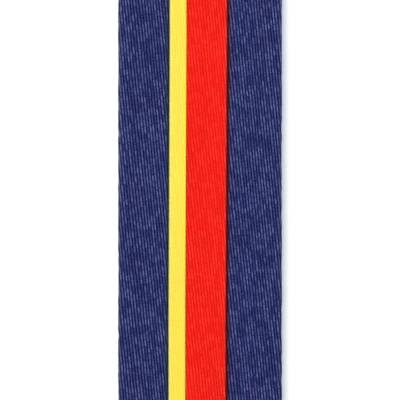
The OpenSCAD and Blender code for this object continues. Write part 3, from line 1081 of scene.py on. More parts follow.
@dataclass
class RibbonStrip:
    """One woven strip folded over both rods, and the two seams that close its folds.

    Attributes:
        fold_angle: Half angle at which the plies close below a rod, in degrees.
        hem_length: Length of the turned-down end, in metres.
        clearance: How much thinner the cloth is than the room it has, in metres.
        rib_pitch: Distance from one rib to the next, in metres.
        rib_lean: Sideways drift of a rib for each unit of length.
        rib_height: Height of a rib's crest above its flanks, in metres.
        columns: Faces across the outer side.
        inner_columns: Faces across the inner side.
        row_spacing: Distance between rows along the strip, in metres.
        scallop: How far the edges wander in and out, in metres.
        drift: Sideways slip of the stripes for each unit of the front ply's length.
        most_drift: The most that the stripes slip, in metres.
        fold_steps: Points round a fold.
        easing: Points over which the route's corners are rounded.
        edge_pull: How far in from an edge the cloth follows its wandering, in metres.
        edge_limit: How far past its straight line an edge may go, in metres.
        edge_roll: Width over which an edge rounds off, in metres.
        stitch: Length of a stitch, in metres.
        stitch_pitch: Distance from one stitch to the next, in metres.
        width: Width of the ribbon, in metres.
        ply: Thickness of one ply, in metres.
        upper: Middle of the upper rod.
        lower: Middle of the lower rod.
        fold_radius: Radius of the strip's middle round a rod, in metres.
        line: The strip's route, as rows of y and z.
        length: Length of that route, in metres.
    """

    fold_angle: float = 14
    hem_length: float = 9 * MM
    clearance: float = 0.05 * MM
    rib_pitch: float = 0.56 * MM
    rib_lean: float = 0.107
    rib_height: float = 0.022 * MM
    columns: int = 196
    inner_columns: int = 12
    row_spacing: float = 0.46 * MM
    scallop: float = 0.07 * MM
    drift: float = 0.0044
    most_drift: float = 0.12 * MM
    fold_steps: int = 90
    easing: int = 13
    edge_pull: float = 1.6 * MM
    edge_limit: float = 0.05 * MM
    edge_roll: float = 0.28 * MM
    stitch: float = 2.0 * MM
    stitch_pitch: float = 2.45 * MM
    width: float = field(init=False)
    ply: float = field(init=False)
    upper: Vector = field(init=False)
    lower: Vector = field(init=False)
    fold_radius: float = field(init=False)
    line: np.ndarray = field(init=False)
    length: float = field(init=False)

    def __post_init__(self) -> None:
        """Takes the sizes that the frame holds, and lays out the strip's route."""
        self.width = span("ribbon").x
        seam = span("bottom_stitching")
        self.ply = seam.y / 2 - seam.z
        self.upper = middle("ribbon_rod")
        self.lower = middle("suspender_rod")
        self.fold_radius = span("ribbon").y / 2 - self.ply / 2
        self.line = self.centreline()
        self.length = (len(self.line) - 1) * float(np.hypot(*(self.line[1] - self.line[0])))

    def meeting(self) -> float:
        """Returns how far below the upper rod the plies meet."""
        turn = math.radians(self.fold_angle)
        outer = self.fold_radius + self.ply / 2
        run = (outer * math.cos(turn) - self.ply) / math.sin(turn)
        return outer * math.sin(turn) + run * math.cos(turn)

    def centreline(self) -> np.ndarray:
        """Traces the middle of the strip from the end of its hem to the end of its back ply.

        Returns:
            Rows of y and z, evenly spaced, in metres.
        """
        half = self.ply / 2
        meet = self.meeting()
        drop = self.upper.z - self.lower.z
        start = -math.radians(self.fold_angle)
        over = np.linspace(start, math.pi - start, self.fold_steps)
        arc = np.stack([np.cos(over), np.sin(over)], axis=1) * self.fold_radius
        hem_end = meet + self.hem_length
        corners = [[3 * half, -hem_end], [3 * half, -meet - 1.5 * self.ply], [half, -meet + 0.5 * self.ply]]
        corners += arc.tolist()
        corners += [[-half, -meet], [-half, -drop + meet]]
        corners += [[-y, -drop - z] for y, z in arc.tolist()]
        corners += [[half, -drop + meet], [half, -meet - 2.2 * self.ply]]
        fine = self.resample(np.array(corners), 0.05 * MM)
        padding = ((self.easing // 2, self.easing // 2), (0, 0))
        padded = np.pad(fine, padding, mode="edge")
        kernel = np.ones(self.easing) / self.easing
        eased = np.stack([np.convolve(padded[:, i], kernel, "valid") for i in (0, 1)], axis=1)
        return self.resample(eased, self.row_spacing) + np.array([self.upper.y, self.upper.z])

    @staticmethod
    def resample(points: np.ndarray, spacing: float) -> np.ndarray:
        """Spaces points evenly along a line.

        Args:
            points: The line's points.
            spacing: The distance wanted, in metres.

        Returns:
            The new points.
        """
        steps = np.hypot(*np.diff(points, axis=0).T)
        travelled = np.concatenate([[0], np.cumsum(steps)])
        count = max(2, round(travelled[-1] / spacing) + 1)
        wanted = np.linspace(0, travelled[-1], count)
        return np.stack([np.interp(wanted, travelled, points[:, i]) for i in (0, 1)], axis=1)

    @staticmethod
    def wander(length: float, count: int, grain: float, chance: np.random.Generator) -> np.ndarray:
        """Makes a smooth random line of a given grain, from about -1 to 1.

        Args:
            length: Length of the line, in metres.
            count: Number of values.
            grain: Distance over which it changes, in metres.
            chance: Where the random values come from.

        Returns:
            The values.
        """
        knots = max(4, int(length / grain))
        values = chance.uniform(-1, 1, knots)
        place = np.linspace(0, knots - 1, count)
        low = np.clip(place.astype(int), 0, knots - 2)
        share = place - low
        share = share * share * (3 - 2 * share)
        return values[low] * (1 - share) + values[low + 1] * share

    def ragged(self, across: np.ndarray, chance: np.random.Generator) -> np.ndarray:
        """Lets both edges wander, and draws the cloth beside them along.

        Args:
            across: Places across the ribbon, row by row, in metres.
            chance: Where the random values come from.

        Returns:
            The places from side to side, in metres.
        """
        rows = len(across)
        left = self.scallop * self.wander(self.length, rows, 1.3 * MM, chance)
        right = self.scallop * self.wander(self.length, rows, 1.5 * MM, chance)
        pull = np.clip(1 - across / self.edge_pull, 0, 1) ** 2 * left[:, None]
        push = np.clip(1 - (self.width - across) / self.edge_pull, 0, 1) ** 2 * right[:, None]
        limit = self.width / 2 + self.edge_limit
        return np.clip(across - self.width / 2 + pull + push, -limit, limit)

    def rib_count(self, across: np.ndarray, down: np.ndarray, chance: np.random.Generator) -> np.ndarray:
        """Counts the leaning ribs from the left edge: a whole number is a crest.

        Args:
            across: Places across the ribbon, in metres.
            down: Places along the strip, in metres.
            chance: Where the random values come from.

        Returns:
            The count at each place.
        """
        rows, points = across.shape
        lean = self.wander(self.length, rows, 6 * MM, chance)[:, None] * 0.05 * MM
        sway = self.wander(self.width, points, 2.2 * MM, chance)[None, :] * 0.06 * MM
        return (across - self.rib_lean * down + lean + sway) / self.rib_pitch

    def standing(self, across: np.ndarray, ribs: np.ndarray, is_outer: np.ndarray) -> np.ndarray:
        """Returns how far each place stands off the strip's middle.

        Args:
            across: Places across the ribbon, in metres.
            ribs: The ribs' count.
            is_outer: Which points of a row are on the ribbed side.

        Returns:
            The heights, below zero on the inner side, in metres.
        """
        nearest = np.minimum(across, self.width - across)
        roll = np.sqrt(np.clip(1 - (1 - np.clip(nearest / self.edge_roll, 0, 1)) ** 2, 0, 1))
        cord = np.exp(-((nearest - 0.45 * MM) / (0.3 * MM)) ** 2) * 0.02 * MM
        half = (self.ply - self.clearance) / 2
        crests = self.rib_height * 0.5 * np.cos(2 * math.pi * ribs)
        return np.where(is_outer[None, :], roll * (half + crests + cord), -roll * half)

    @staticmethod
    def closed_mesh(places: np.ndarray) -> bpy.types.Mesh:
        """Joins rings of points into one closed mesh.

        Args:
            places: A ring of x, y and z for each row.

        Returns:
            The mesh.
        """
        rows, ring, _ = places.shape
        here = np.arange(ring)
        after = (here + 1) % ring
        starts = np.arange(rows - 1)[:, None] * ring
        faces = np.stack([starts + here, starts + after, starts + ring + after, starts + ring + here],
                         axis=2).reshape(-1, 4).tolist()
        faces += [here[::-1].tolist(), ((rows - 1) * ring + here).tolist()]
        mesh = bpy.data.meshes.new("ribbon_cloth")
        mesh.from_pydata(places.reshape(-1, 3).tolist(), [], faces)
        return mesh

    def build(self) -> Piece:
        """Weaves the strip as one closed mesh that carries its own cloth and weave maps.

        Returns:
            The ribbon.
        """
        chance = np.random.default_rng(SEED)
        rows = len(self.line)
        tangent = np.gradient(self.line, axis=0)
        tangent /= np.hypot(*tangent.T)[:, None]
        normal = np.stack([tangent[:, 1], -tangent[:, 0]], axis=1)
        outer = np.linspace(0, 1, self.columns + 1)
        inner = np.linspace(1, 0, self.inner_columns + 1)[1:-1]
        shares = np.concatenate([outer, inner])
        across = np.tile(shares * self.width, (rows, 1))
        down = np.tile(np.linspace(0, self.length, rows)[:, None], (1, len(shares)))

        x = self.ragged(across, chance)
        ribs = self.rib_count(across, down, chance)
        lift = self.standing(across, ribs, np.arange(len(shares)) <= self.columns)
        y, z = (self.line[:, i][:, None] + normal[:, i][:, None] * lift for i in (0, 1))
        mesh = self.closed_mesh(np.stack([x, y, z], axis=2))

        halfway = self.hem_length + self.meeting() + (self.upper.z - self.lower.z) / 2
        slide = np.clip(self.drift * (halfway - down), -self.most_drift, self.most_drift)
        corner = np.zeros(len(mesh.loops), np.int32)
        mesh.loops.foreach_get("vertex_index", corner)
        for name, first in (("cloth", (across - slide) / MM), ("weave", ribs)):
            flat = np.stack([first, down / MM], axis=2).reshape(-1, 2)[corner]
            mesh.uv_layers.new(name=name).data.foreach_set("uv", flat.astype(np.float32).ravel())
        strip = bring_in("ribbon_cloth", mesh)
        face_outwards(strip)
        mesh.shade_smooth()
        return strip

    def seam(self, node: str) -> Piece:
        """Sews one row of stitches where a CAD seam lies, each pulled into the cloth at its ends.

        Args:
            node: The CAD seam.

        Returns:
            The stitches.
        """
        low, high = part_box(node)
        thread = high.z - low.z
        count = int((high.x - low.x + self.stitch_pitch - self.stitch) / self.stitch_pitch + 0.5)
        cuts = 8
        bpy.ops.mesh.primitive_cylinder_add(vertices=8, radius=thread / 2, depth=self.stitch)
        stitch = place(just_added(f"{node}_thread"), Matrix.Rotation(QUARTER, 4, "Y"))
        with editing(stitch):
            bpy.ops.mesh.select_all(action="SELECT")
            for cut in range(1, cuts):
                bpy.ops.mesh.bisect(plane_co=(self.stitch * (cut / cuts - 0.5), 0, 0), plane_no=(1, 0, 0))
                bpy.ops.mesh.select_all(action="SELECT")
        for point in stitch.data.vertices:
            end = abs(point.co.x) / (self.stitch / 2)
            slim = 1 - 0.45 * end ** 4
            point.co = (point.co.x, point.co.y * slim - thread * 0.75 * end ** 3, point.co.z * slim)
        smooth(stitch, 60)
        chance = np.random.default_rng(SEED + count)
        places = []
        for side in (1, -1):
            face = low.y + thread / 2 if side > 0 else high.y - thread / 2
            for index in range(count):
                x = low.x + self.stitch / 2 + index * self.stitch_pitch
                tilt = Matrix.Rotation(math.radians(chance.uniform(-3, 3)), 4, "Y")
                spot = Matrix.Translation((x, face, (low.z + high.z) / 2))
                turn = Matrix.Rotation(math.pi if side > 0 else 0, 4, "X")
                places.append(spot @ tilt @ turn)
        return repeat(stitch, places)

    def dress(self, cloth: Material, thread: Material) -> None:
        """Args:
            cloth: The ribbon's material.
            thread: The thread's material.
        """
        strip = self.build()
        finish_piece(strip, "ribbon", Slot.CLOTH, cloth, "ribbon")
        seams = []
        for node in ("top_stitching", "bottom_stitching"):
            seams.append(self.seam(node))
            finish_piece(seams[-1], "ribbon", Slot.THREAD, thread, node)
        log.info("ribbon: cut %.1f mm wide and %.1f mm long", self.width / MM, self.length / MM)


# ---- Brooch ----


@dataclass
class Brooch:
    """The bar that shows above the ribbon, and the brooch work behind it.

    Attributes:
        border: Width of the bar's raised border, in metres.
        panel_depth: Depth of the panel inside the border, in metres.
        boss_share: Radius of the boss as a share of the bar's height.
        leaf_length: Length of a sprig's leaf, in metres.
        leaf_pairs: Leaf pairs on each sprig.
        corner: Radius of the bar's corners, in metres.
        lip: Depth of the fine step in the border, in metres.
        petals: Petals of the rosette.
    """

    border: float = 0.9 * MM
    panel_depth: float = 0.5 * MM
    boss_share: float = 0.3
    leaf_length: float = 3.3 * MM
    leaf_pairs: int = 7
    corner: float = 1.1 * MM
    lip: float = 0.12 * MM
    petals: int = 8

    def front(self) -> Vector:
        """Returns the middle of the bar's front face."""
        low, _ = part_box("front_bar")
        centre = middle("front_bar")
        return Vector((centre.x, low.y, centre.z))

    def bar(self) -> Piece:
        """Models the bar: rounded corners, a stepped border and a sunk panel.

        Returns:
            The bar, standing in its place.
        """
        size = span("front_bar")
        bpy.ops.mesh.primitive_cube_add(size=1, scale=(size.x, size.z, size.y), location=(0, 0, -size.y / 2))
        bar = just_added("bar_face")
        with editing(bar, "EDGE"):
            pick_edges(bar, lambda edge: abs(edge.verts[0].co.z - edge.verts[1].co.z) > size.y / 2)
            bpy.ops.mesh.bevel(offset=self.corner, segments=6, affect="EDGES")
            bpy.ops.mesh.select_mode(type="FACE")
            pick_cap(bar)
            cut_steps((self.border * 0.45, -self.lip), (self.border * 0.2, self.lip),
                      (self.border * 0.35, -self.panel_depth))
        round_edges(bar, 0.07 * MM)
        settle(bar)
        return place(bar, facing_front(self.front()))

    def sprigs(self) -> Piece:
        """Models the two laurel sprigs that fill the panel.

        Returns:
            The sprigs, standing in their place.
        """
        size = span("front_bar")
        inner = size.z * self.boss_share + 0.9 * MM
        outer = size.x / 2 - self.border - 0.6 * MM
        step = (outer - inner - self.leaf_length) / (self.leaf_pairs - 1)
        leaf = laurel_leaf(self.leaf_length, self.leaf_length * 0.38, 0.4 * MM)
        spots = []
        for turn in (0, 180):
            for index in range(self.leaf_pairs):
                for side in (-1, 1):
                    root = Matrix.Translation((inner + index * step, side * 0.12 * MM, 0))
                    spots.append(turned(turn) @ root @ turned(side * 38))
            spots.append(turned(turn) @ Matrix.Translation((outer - self.leaf_length * 0.95, 0, 0)))
        leaves = repeat(leaf, spots)
        bpy.ops.mesh.primitive_cylinder_add(vertices=8, radius=0.17 * MM, depth=outer - inner - 1.5 * MM)
        stem = just_added("stem")
        with editing(stem):
            bpy.ops.mesh.select_all(action="SELECT")
            bpy.ops.transform.resize(value=(0.8, 1.2, 1), center_override=(0, 0, 0))
        place(stem, Matrix.Rotation(QUARTER, 4, "Y"))
        reach = (outer + inner) / 2 - 0.6 * MM
        stems = repeat(stem, [Matrix.Translation((side * reach, 0, 0.12 * MM)) for side in (-1, 1)])
        berries = repeat(bead(0.26 * MM), [
            turned(turn) @ Matrix.Translation((inner + (index + 0.86) * step, side * 0.62 * MM, 0.14 * MM))
            for turn in (0, 180) for index in range(self.leaf_pairs) for side in (-1, 1)])
        sprigs = join("bar_sprigs", [leaves, smooth(stems, 60), berries])
        return place(sprigs, facing_front(self.front() + Vector((0, self.panel_depth, 0))))

    def rosette(self) -> Piece:
        """Models the rosette in the middle of the bar.

        Returns:
            The rosette, standing in its place.
        """
        radius = span("front_bar").z * self.boss_share
        base = puck("rosette_base", radius, self.panel_depth, 64)
        with editing(base):
            pick_cap(base)
            cut_steps((radius * 0.1, -0.1 * MM), (radius * 0.08, 0.07 * MM), (radius * 0.06, -0.2 * MM))
        round_edges(base, 0.05 * MM)
        settle(base)
        petal = laurel_leaf(radius * 0.78, radius * 0.42, 0.26 * MM, "petal")
        petals = repeat(petal, [turned(360 * index / self.petals, height=self.panel_depth - 0.28 * MM)
                                for index in range(self.petals)])
        heart = place(bead(radius * 0.2), Matrix.Translation((0, 0, self.panel_depth - 0.15 * MM)))
        rosette = join("bar_rosette", [base, petals, heart])
        return place(rosette, facing_front(self.front() + Vector((0, self.panel_depth, 0))))

    def dress(self, gilt: Material, dull_gilt: Material, steel: Material) -> None:
        """Builds and dresses the brooch, its pin and its catch.

        Args:
            gilt: Bright gilding.
            dull_gilt: Toned gilding.
            steel: Polished steel.
        """
        finish_piece(self.bar(), "brooch", Slot.GILT, gilt, "front_bar")
        finish_piece(self.sprigs(), "brooch", Slot.GILT, gilt)
        finish_piece(self.rosette(), "brooch", Slot.GILT, gilt)
        for node, edge in (("rod_brackets", 0.12), ("rod_finials", 0.05)):
            finish_piece(eased_copy(node, edge * MM), "brooch", Slot.GILT, gilt, node)
        for node, edge in (("back_plate", 0.15), ("bar_rivets", 0.0), ("ribbon_rod", 0.0),
                           ("pin_joint", 0.08), ("catch_housing", 0.08)):
            finish_piece(eased_copy(node, edge * MM), "brooch", Slot.DULL_GILT, dull_gilt, node)
        finish_piece(eased_copy("joint_rivet", 0), "brooch", Slot.STEEL, steel, "joint_rivet")
        finish_piece(eased_copy("pin_stem", 0.03 * MM), "pin", Slot.STEEL, steel, "pin_stem")
        finish_piece(eased_copy("catch_roller", 0.06 * MM), "catch", Slot.GILT, gilt, "catch_roller")


# ---- Suspender and swivel ----


@dataclass
class Suspender:
    """The straight bar below the ribbon, with its rod, finials and swivel.

    Attributes:
        edge: Width of the rounding along the bar, in metres.
    """

    edge: float = 0.22 * MM

    def dress(self, gilt: Material, dull_gilt: Material, steel: Material) -> None:
        """Builds and dresses the suspender and the swivel below it.

        Args:
            gilt: Bright gilding.
            dull_gilt: Toned gilding.
            steel: Polished steel.
        """
        for node, edge in (("suspender_frame", self.edge), ("suspender_finials", 0.05 * MM),
                           ("claw", 0.2 * MM)):
            finish_piece(eased_copy(node, edge), body_holding(node), Slot.GILT, gilt, node)
        for node, edge in (("suspender_rod", 0.0), ("swivel_washer", 0.08 * MM)):
            finish_piece(eased_copy(node, edge), body_holding(node), Slot.DULL_GILT, dull_gilt, node)
        for node in ("swivel_stud", "claw_pin"):
            finish_piece(eased_copy(node, 0), body_holding(node), Slot.STEEL, steel, node)


# ---- Medal ----


@dataclass
class Medal:
    """The struck disc with its wreath, enamel and star.

    Attributes:
        rim_width: Width of the raised rim, in metres.
        field_depth: Depth of the field below the rim, in metres.
        bead_width: Width of the ring round the pocket, in metres.
        bead_height: Height of that ring above the field, in metres.
        pearl: Radius of a pearl of the pearled border, in metres.
        leaf_pairs: Leaf pairs on each branch of the wreath.
        leaf_length: Length of a leaf, in metres.
        opening: Half angle that the wreath leaves free at the top, in degrees.
        foot: Half angle that it leaves free for its bow, in degrees.
        points: Number of the star's points.
        rays: Number of rays on the back.
        centre: Middle of the disc.
        radius: Radius of the disc, in metres.
        half: Half the thickness of the disc, in metres.
        pocket: Radius of the pocket for the enamel, in metres.
    """

    rim_width: float = 1.5 * MM
    field_depth: float = 0.45 * MM
    bead_width: float = 0.6 * MM
    bead_height: float = 0.3 * MM
    pearl: float = 0.3 * MM
    leaf_pairs: int = 10
    leaf_length: float = 3.6 * MM
    opening: float = 26
    foot: float = 8
    points: int = 5
    rays: int = 48
    centre: Vector = field(init=False)
    radius: float = field(init=False)
    half: float = field(init=False)
    pocket: float = field(init=False)

    def __post_init__(self) -> None:
        """Takes the sizes that the frame holds."""
        self.centre = middle("medal_disc")
        self.radius = span("medal_disc").x / 2
        self.half = span("medal_disc").y / 2
        self.pocket = span("enamel_field").x / 2

    def front(self, height: float) -> Matrix:
        """Returns the place of a relief whose base lies at a height from the middle plane."""
        return facing_front(self.centre - Vector((0, height, 0)))

    def back(self, height: float) -> Matrix:
        """Returns the same place on the back of the disc."""
        return facing_back(self.centre + Vector((0, height, 0)))

    def field_height(self) -> float:
        """Returns the height of the field above the middle plane."""
        return self.half - self.field_depth

    def disc(self) -> Piece:
        """Models the disc: a stepped rim, a field and a ringed pocket on each side.

        Returns:
            The disc, standing in its place.
        """
        bpy.ops.mesh.primitive_cylinder_add(vertices=180, radius=self.radius, depth=2 * self.half)
        disc = just_added("disc_body")
        band = self.radius - self.rim_width - self.pocket - self.bead_width
        pocket_depth = span("enamel_field").y
        with editing(disc):
            for up in (True, False):
                side = 1 if up else -1
                pick_cap(disc, up)
                cut_steps((self.rim_width * 0.55, -0.13 * MM * side),
                          (self.rim_width * 0.2, 0.08 * MM * side),
                          (self.rim_width * 0.25, -(self.field_depth - 0.05 * MM) * side),
                          (band, self.bead_height * side),
                          (self.bead_width, -(self.bead_height + pocket_depth) * side))
        with editing(disc, "EDGE"):
            pick_edges(disc, lambda edge: all(
                abs(point.co.z) > self.half * 0.98 and point.co.xy.length > self.radius * 0.995
                for point in edge.verts))
            bpy.ops.mesh.bevel(offset=0.4 * MM, segments=4, affect="EDGES")
        round_edges(disc, 0.06 * MM)
        settle(disc)
        return place(disc, self.front(0))

    def pearls(self) -> Piece:
        """Models the pearled borders, front and back.

        Returns:
            The pearls, standing in their places.
        """
        ring = self.radius - self.rim_width - self.pearl * 1.5
        count = round(2 * math.pi * ring / (self.pearl * 2.7))
        turns = [turned(360 * index / count, ring) for index in range(count)]
        height = self.field_height() + self.pearl * 0.1
        return repeat(bead(self.pearl, "pearled_border"),
                      [side @ turn for side in (self.front(height), self.back(height)) for turn in turns])

    def wreath(self) -> Piece:
        """Models the laurel wreath: two branches of ribbed leaves, berries and a bow.

        Returns:
            The wreath, standing in its place.
        """
        ring = (self.pocket + self.bead_width + self.radius - self.rim_width) / 2 - 0.1 * MM
        step = (180 - self.opening - self.foot) / self.leaf_pairs
        leaf = laurel_leaf(self.leaf_length, self.leaf_length * 0.46, 0.42 * MM)
        spots, berry_spots = [], []
        for mirror in (1, -1):
            flip = Matrix.Diagonal((mirror, 1, 1, 1))
            for index in range(self.leaf_pairs):
                for side in (-1, 1):
                    lead = 0.35 if side > 0 else 0
                    angle = -90 + self.foot + (index + lead) * step
                    spots.append(flip @ turned(angle, ring, 0.03 * MM) @ turned(90 - side * 24))
                angle = -90 + self.foot + (index + 0.9) * step
                berry_spots.append(flip @ turned(angle, ring + 1.55 * MM, 0.12 * MM))
                berry_spots.append(flip @ turned(angle - 0.4 * step, ring - 1.5 * MM, 0.12 * MM))
        leaves = repeat(leaf, spots)
        face_outwards(leaves)
        berries = repeat(bead(0.3 * MM), berry_spots)
        face_outwards(berries)
        bpy.ops.mesh.primitive_torus_add(major_segments=160, minor_segments=8, major_radius=ring,
                                         minor_radius=0.24 * MM, location=(0, 0, 0.08 * MM))
        stem = just_added("stem")
        with editing(stem, "VERT"):
            gap = math.radians(self.opening)
            pick_points(stem, lambda co: abs(math.atan2(co.x, co.y)) < gap)
            bpy.ops.mesh.delete(type="VERT")
            bpy.ops.mesh.select_all(action="SELECT")
            bpy.ops.mesh.select_non_manifold()
            bpy.ops.mesh.edge_face_add()
        smooth(stem, 60)
        wreath = join("laurel_wreath", [leaves, berries, stem, self.bow(ring)])
        return place(wreath, self.front(self.field_height()))

    def bow(self, ring: float) -> Piece:
        """Models the small bow that ties the two branches at the foot.

        Args:
            ring: Radius of the wreath's middle line, in metres.

        Returns:
            The bow, lying face up.
        """
        bpy.ops.mesh.primitive_torus_add(major_segments=24, minor_segments=8, major_radius=0.62 * MM,
                                         minor_radius=0.24 * MM)
        loop = just_added("bow_loop")
        place(loop, Matrix.Diagonal((1.35, 0.8, 1, 1)))
        loops = repeat(loop, [Matrix.Translation((side * 0.95 * MM, -ring, 0.3 * MM))
                              @ Matrix.Rotation(math.radians(side * 14), 4, "Z") for side in (-1, 1)])
        tail = laurel_leaf(1.9 * MM, 0.75 * MM, 0.3 * MM, "bow_tail")
        tails = repeat(tail, [Matrix.Translation((side * 0.1 * MM, -ring, 0.05 * MM))
                              @ turned(-90 + side * 38) for side in (-1, 1)])
        bpy.ops.mesh.primitive_cube_add(size=1, scale=(0.8 * MM, 0.75 * MM, 0.55 * MM),
                                        location=(0, -ring, 0.3 * MM))
        knot = just_added("bow_knot")
        round_edges(knot, 0.2 * MM, 3)
        return join("bow", [smooth(loops, 60), tails, smooth(knot, 60)])

    def star(self) -> Piece:
        """Models the star: sharp ridges that fall to five points.

        Returns:
            The star, standing in its place.
        """
        size = span("star")
        tip = size.z / (1 + math.cos(math.pi / self.points))
        waist = 0.42
        edge = 0.28 * MM
        star = puck("star_ornament", tip, edge, 2 * self.points)
        step = math.pi / self.points
        with editing(star, "VERT"):
            pick_points(star, lambda co: round((math.atan2(co.y, co.x) - QUARTER) / step) % 2 == 1)
            bpy.ops.transform.resize(value=(waist, waist, 1), center_override=(0, 0, 0))
        with editing(star):
            pick_cap(star)
            bpy.ops.mesh.inset(thickness=0.16 * MM, depth=0)
            bpy.ops.transform.translate(value=(0, 0, 0.12 * MM))
            bpy.ops.mesh.poke(offset=size.y - edge - 0.12 * MM)
        round_edges(star, 0.03 * MM, 2, 16)
        smooth(star, 20)
        return place(star, self.front(self.field_height()))

    def sunburst(self) -> Piece:
        """Models the fine rays that show between the star's points.

        Returns:
            The rays, standing in their place.
        """
        ray = sharp_ray("star_rays", self.pocket * 0.84, 1.25 * MM, 0.42)
        gap = 360 / self.points
        turns = [turned(90 + gap * (index + 0.5) + spread, 0, 0.02 * MM) @ Matrix.Diagonal((shrink, 1, 1, 1))
                 for index in range(self.points) for spread, shrink in ((0, 1.0), (-11, 0.82), (11, 0.82))]
        return place(smooth(repeat(ray, turns), 20), self.front(self.field_height()))

    def enamel(self) -> Piece:
        """Models the enamel as a low dome that fills the front pocket.

        Returns:
            The enamel, standing in its place.
        """
        low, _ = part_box("enamel_field")
        base = -(low.y + span("enamel_field").y - self.centre.y)
        depth = span("enamel_field").y
        enamel = puck("enamel_ground", self.pocket, depth)
        rings = (0.96, 0.85, 0.7, 0.52, 0.32, 0.12)
        dome = 0.1 * MM
        reached = 1.0
        with editing(enamel):
            pick_cap(enamel)
            for share in rings:
                bpy.ops.mesh.inset(thickness=(reached - share) * self.pocket, depth=0)
                bpy.ops.transform.translate(value=(0, 0, dome * (reached ** 2 - share ** 2)))
                reached = share
        smooth(enamel, 40)
        return place(enamel, self.front(base))

    def reverse(self) -> Piece:
        """Models the plain plate on the back, with a turned border and room for a name.

        Returns:
            The plate, standing in its place.
        """
        low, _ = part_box("reverse_plate")
        depth = span("reverse_plate").y
        plate = puck("reverse_panel", self.pocket, depth)
        with editing(plate):
            pick_cap(plate)
            cut_steps((0.35 * MM, -0.08 * MM), (0.3 * MM, 0.08 * MM), (0.3 * MM, -0.08 * MM))
        round_edges(plate, 0.03 * MM)
        settle(plate)
        return place(plate, self.back(low.y - self.centre.y))

    def glory(self) -> Piece:
        """Models the rays that spread from the ring over the back's field.

        Returns:
            The rays, standing in their place.
        """
        root = self.pocket + self.bead_width - 0.1 * MM
        reach = self.radius - self.rim_width - 3.6 * self.pearl - root
        ray = sharp_ray("reverse_rays", reach, 0.56 * MM, 0.45)
        lengths = (1.0, 0.68)
        turns = [turned(360 * index / self.rays, root) @ Matrix.Diagonal((lengths[index % 2], 1, 1, 1))
                 for index in range(self.rays)]
        return place(smooth(repeat(ray, turns), 20), self.back(self.field_height()))

    def dress(self, gilt: Material, dull_gilt: Material, enamel: Material) -> None:
        """Builds and dresses the disc and what is set on it.

        Args:
            gilt: Bright gilding.
            dull_gilt: Toned gilding.
            enamel: The enamel.
        """
        finish_piece(self.disc(), "medal", Slot.GILT, gilt, "medal_disc")
        finish_piece(self.pearls(), "medal", Slot.GILT, gilt)
        finish_piece(self.wreath(), "medal", Slot.DULL_GILT, dull_gilt, "wreath")
        finish_piece(self.enamel(), "medal", Slot.ENAMEL, enamel, "enamel_field")
        finish_piece(self.star(), "medal", Slot.GILT, gilt, "star")
        finish_piece(self.sunburst(), "medal", Slot.GILT, gilt)
        finish_piece(self.reverse(), "medal", Slot.GILT, gilt, "reverse_plate")
        finish_piece(self.glory(), "medal", Slot.GILT, gilt)
        finish_piece(eased_copy("star_rivet", 0), "medal", Slot.DULL_GILT, dull_gilt, "star_rivet")


# ---- Studio ----


@dataclass(frozen=True)
class Lamp:
    """One lamp that looks at the medal.

    Attributes:
        name: The lamp's name.
        kind: Whether it is a sun or a soft panel.
        azimuth: Direction it stands in, in degrees: 0 in front, 90 on the right.
        elevation: Height above the horizon, in degrees.
        power: Strength of a sun, or watts of a panel.
        size: Angle of a sun in degrees, or side of a panel in metres.
        tint: The light's colour.
        distance: How far it stands from the medal, in metres.
    """

    name: str
    kind: LampKind
    azimuth: float
    elevation: float
    power: float
    size: float
    tint: Colour = (1, 1, 1)
    distance: float = 0.75

    def hang(self, aim: Vector) -> Piece:
        """Hangs the lamp so that it looks at a point.

        Args:
            aim: The point.

        Returns:
            The lamp.
        """
        data = bpy.data.lights.new(self.name, self.kind.value)
        data.energy = self.power
        data.color = self.tint
        if self.kind is LampKind.SUN:
            data.angle = math.radians(self.size)
        else:
            data.size = self.size
        lamp = bring_in(self.name, data)
        turn, rise = math.radians(self.azimuth), math.radians(self.elevation)
        back = Vector((math.sin(turn) * math.cos(rise), -math.cos(turn) * math.cos(rise), math.sin(rise)))
        lamp.location = aim + back * self.distance
        lamp.rotation_euler = (-back).to_track_quat("-Z", "Y").to_euler()
        return lamp


WARM = (1.0, 0.98, 0.72)
PAPER_LAMPS = (
    Lamp("wall_lamp", LampKind.SUN, azimuth=-6.1, elevation=0, power=6.4, size=16, tint=WARM),
    Lamp("floor_lamp", LampKind.SUN, azimuth=0, elevation=89, power=5.6, size=30, tint=WARM),
)
MEDAL_LAMPS = (
    Lamp("key", LampKind.AREA, azimuth=-38, elevation=38, power=2.95, size=0.35),
    Lamp("fill", LampKind.AREA, azimuth=42, elevation=12, power=1.3, size=0.6),
    Lamp("front", LampKind.AREA, azimuth=4, elevation=24, power=0.95, size=0.5),
    Lamp("back_left", LampKind.AREA, azimuth=-140, elevation=30, power=3.2, size=0.4),
    Lamp("back_right", LampKind.AREA, azimuth=150, elevation=24, power=2.8, size=0.5),
)


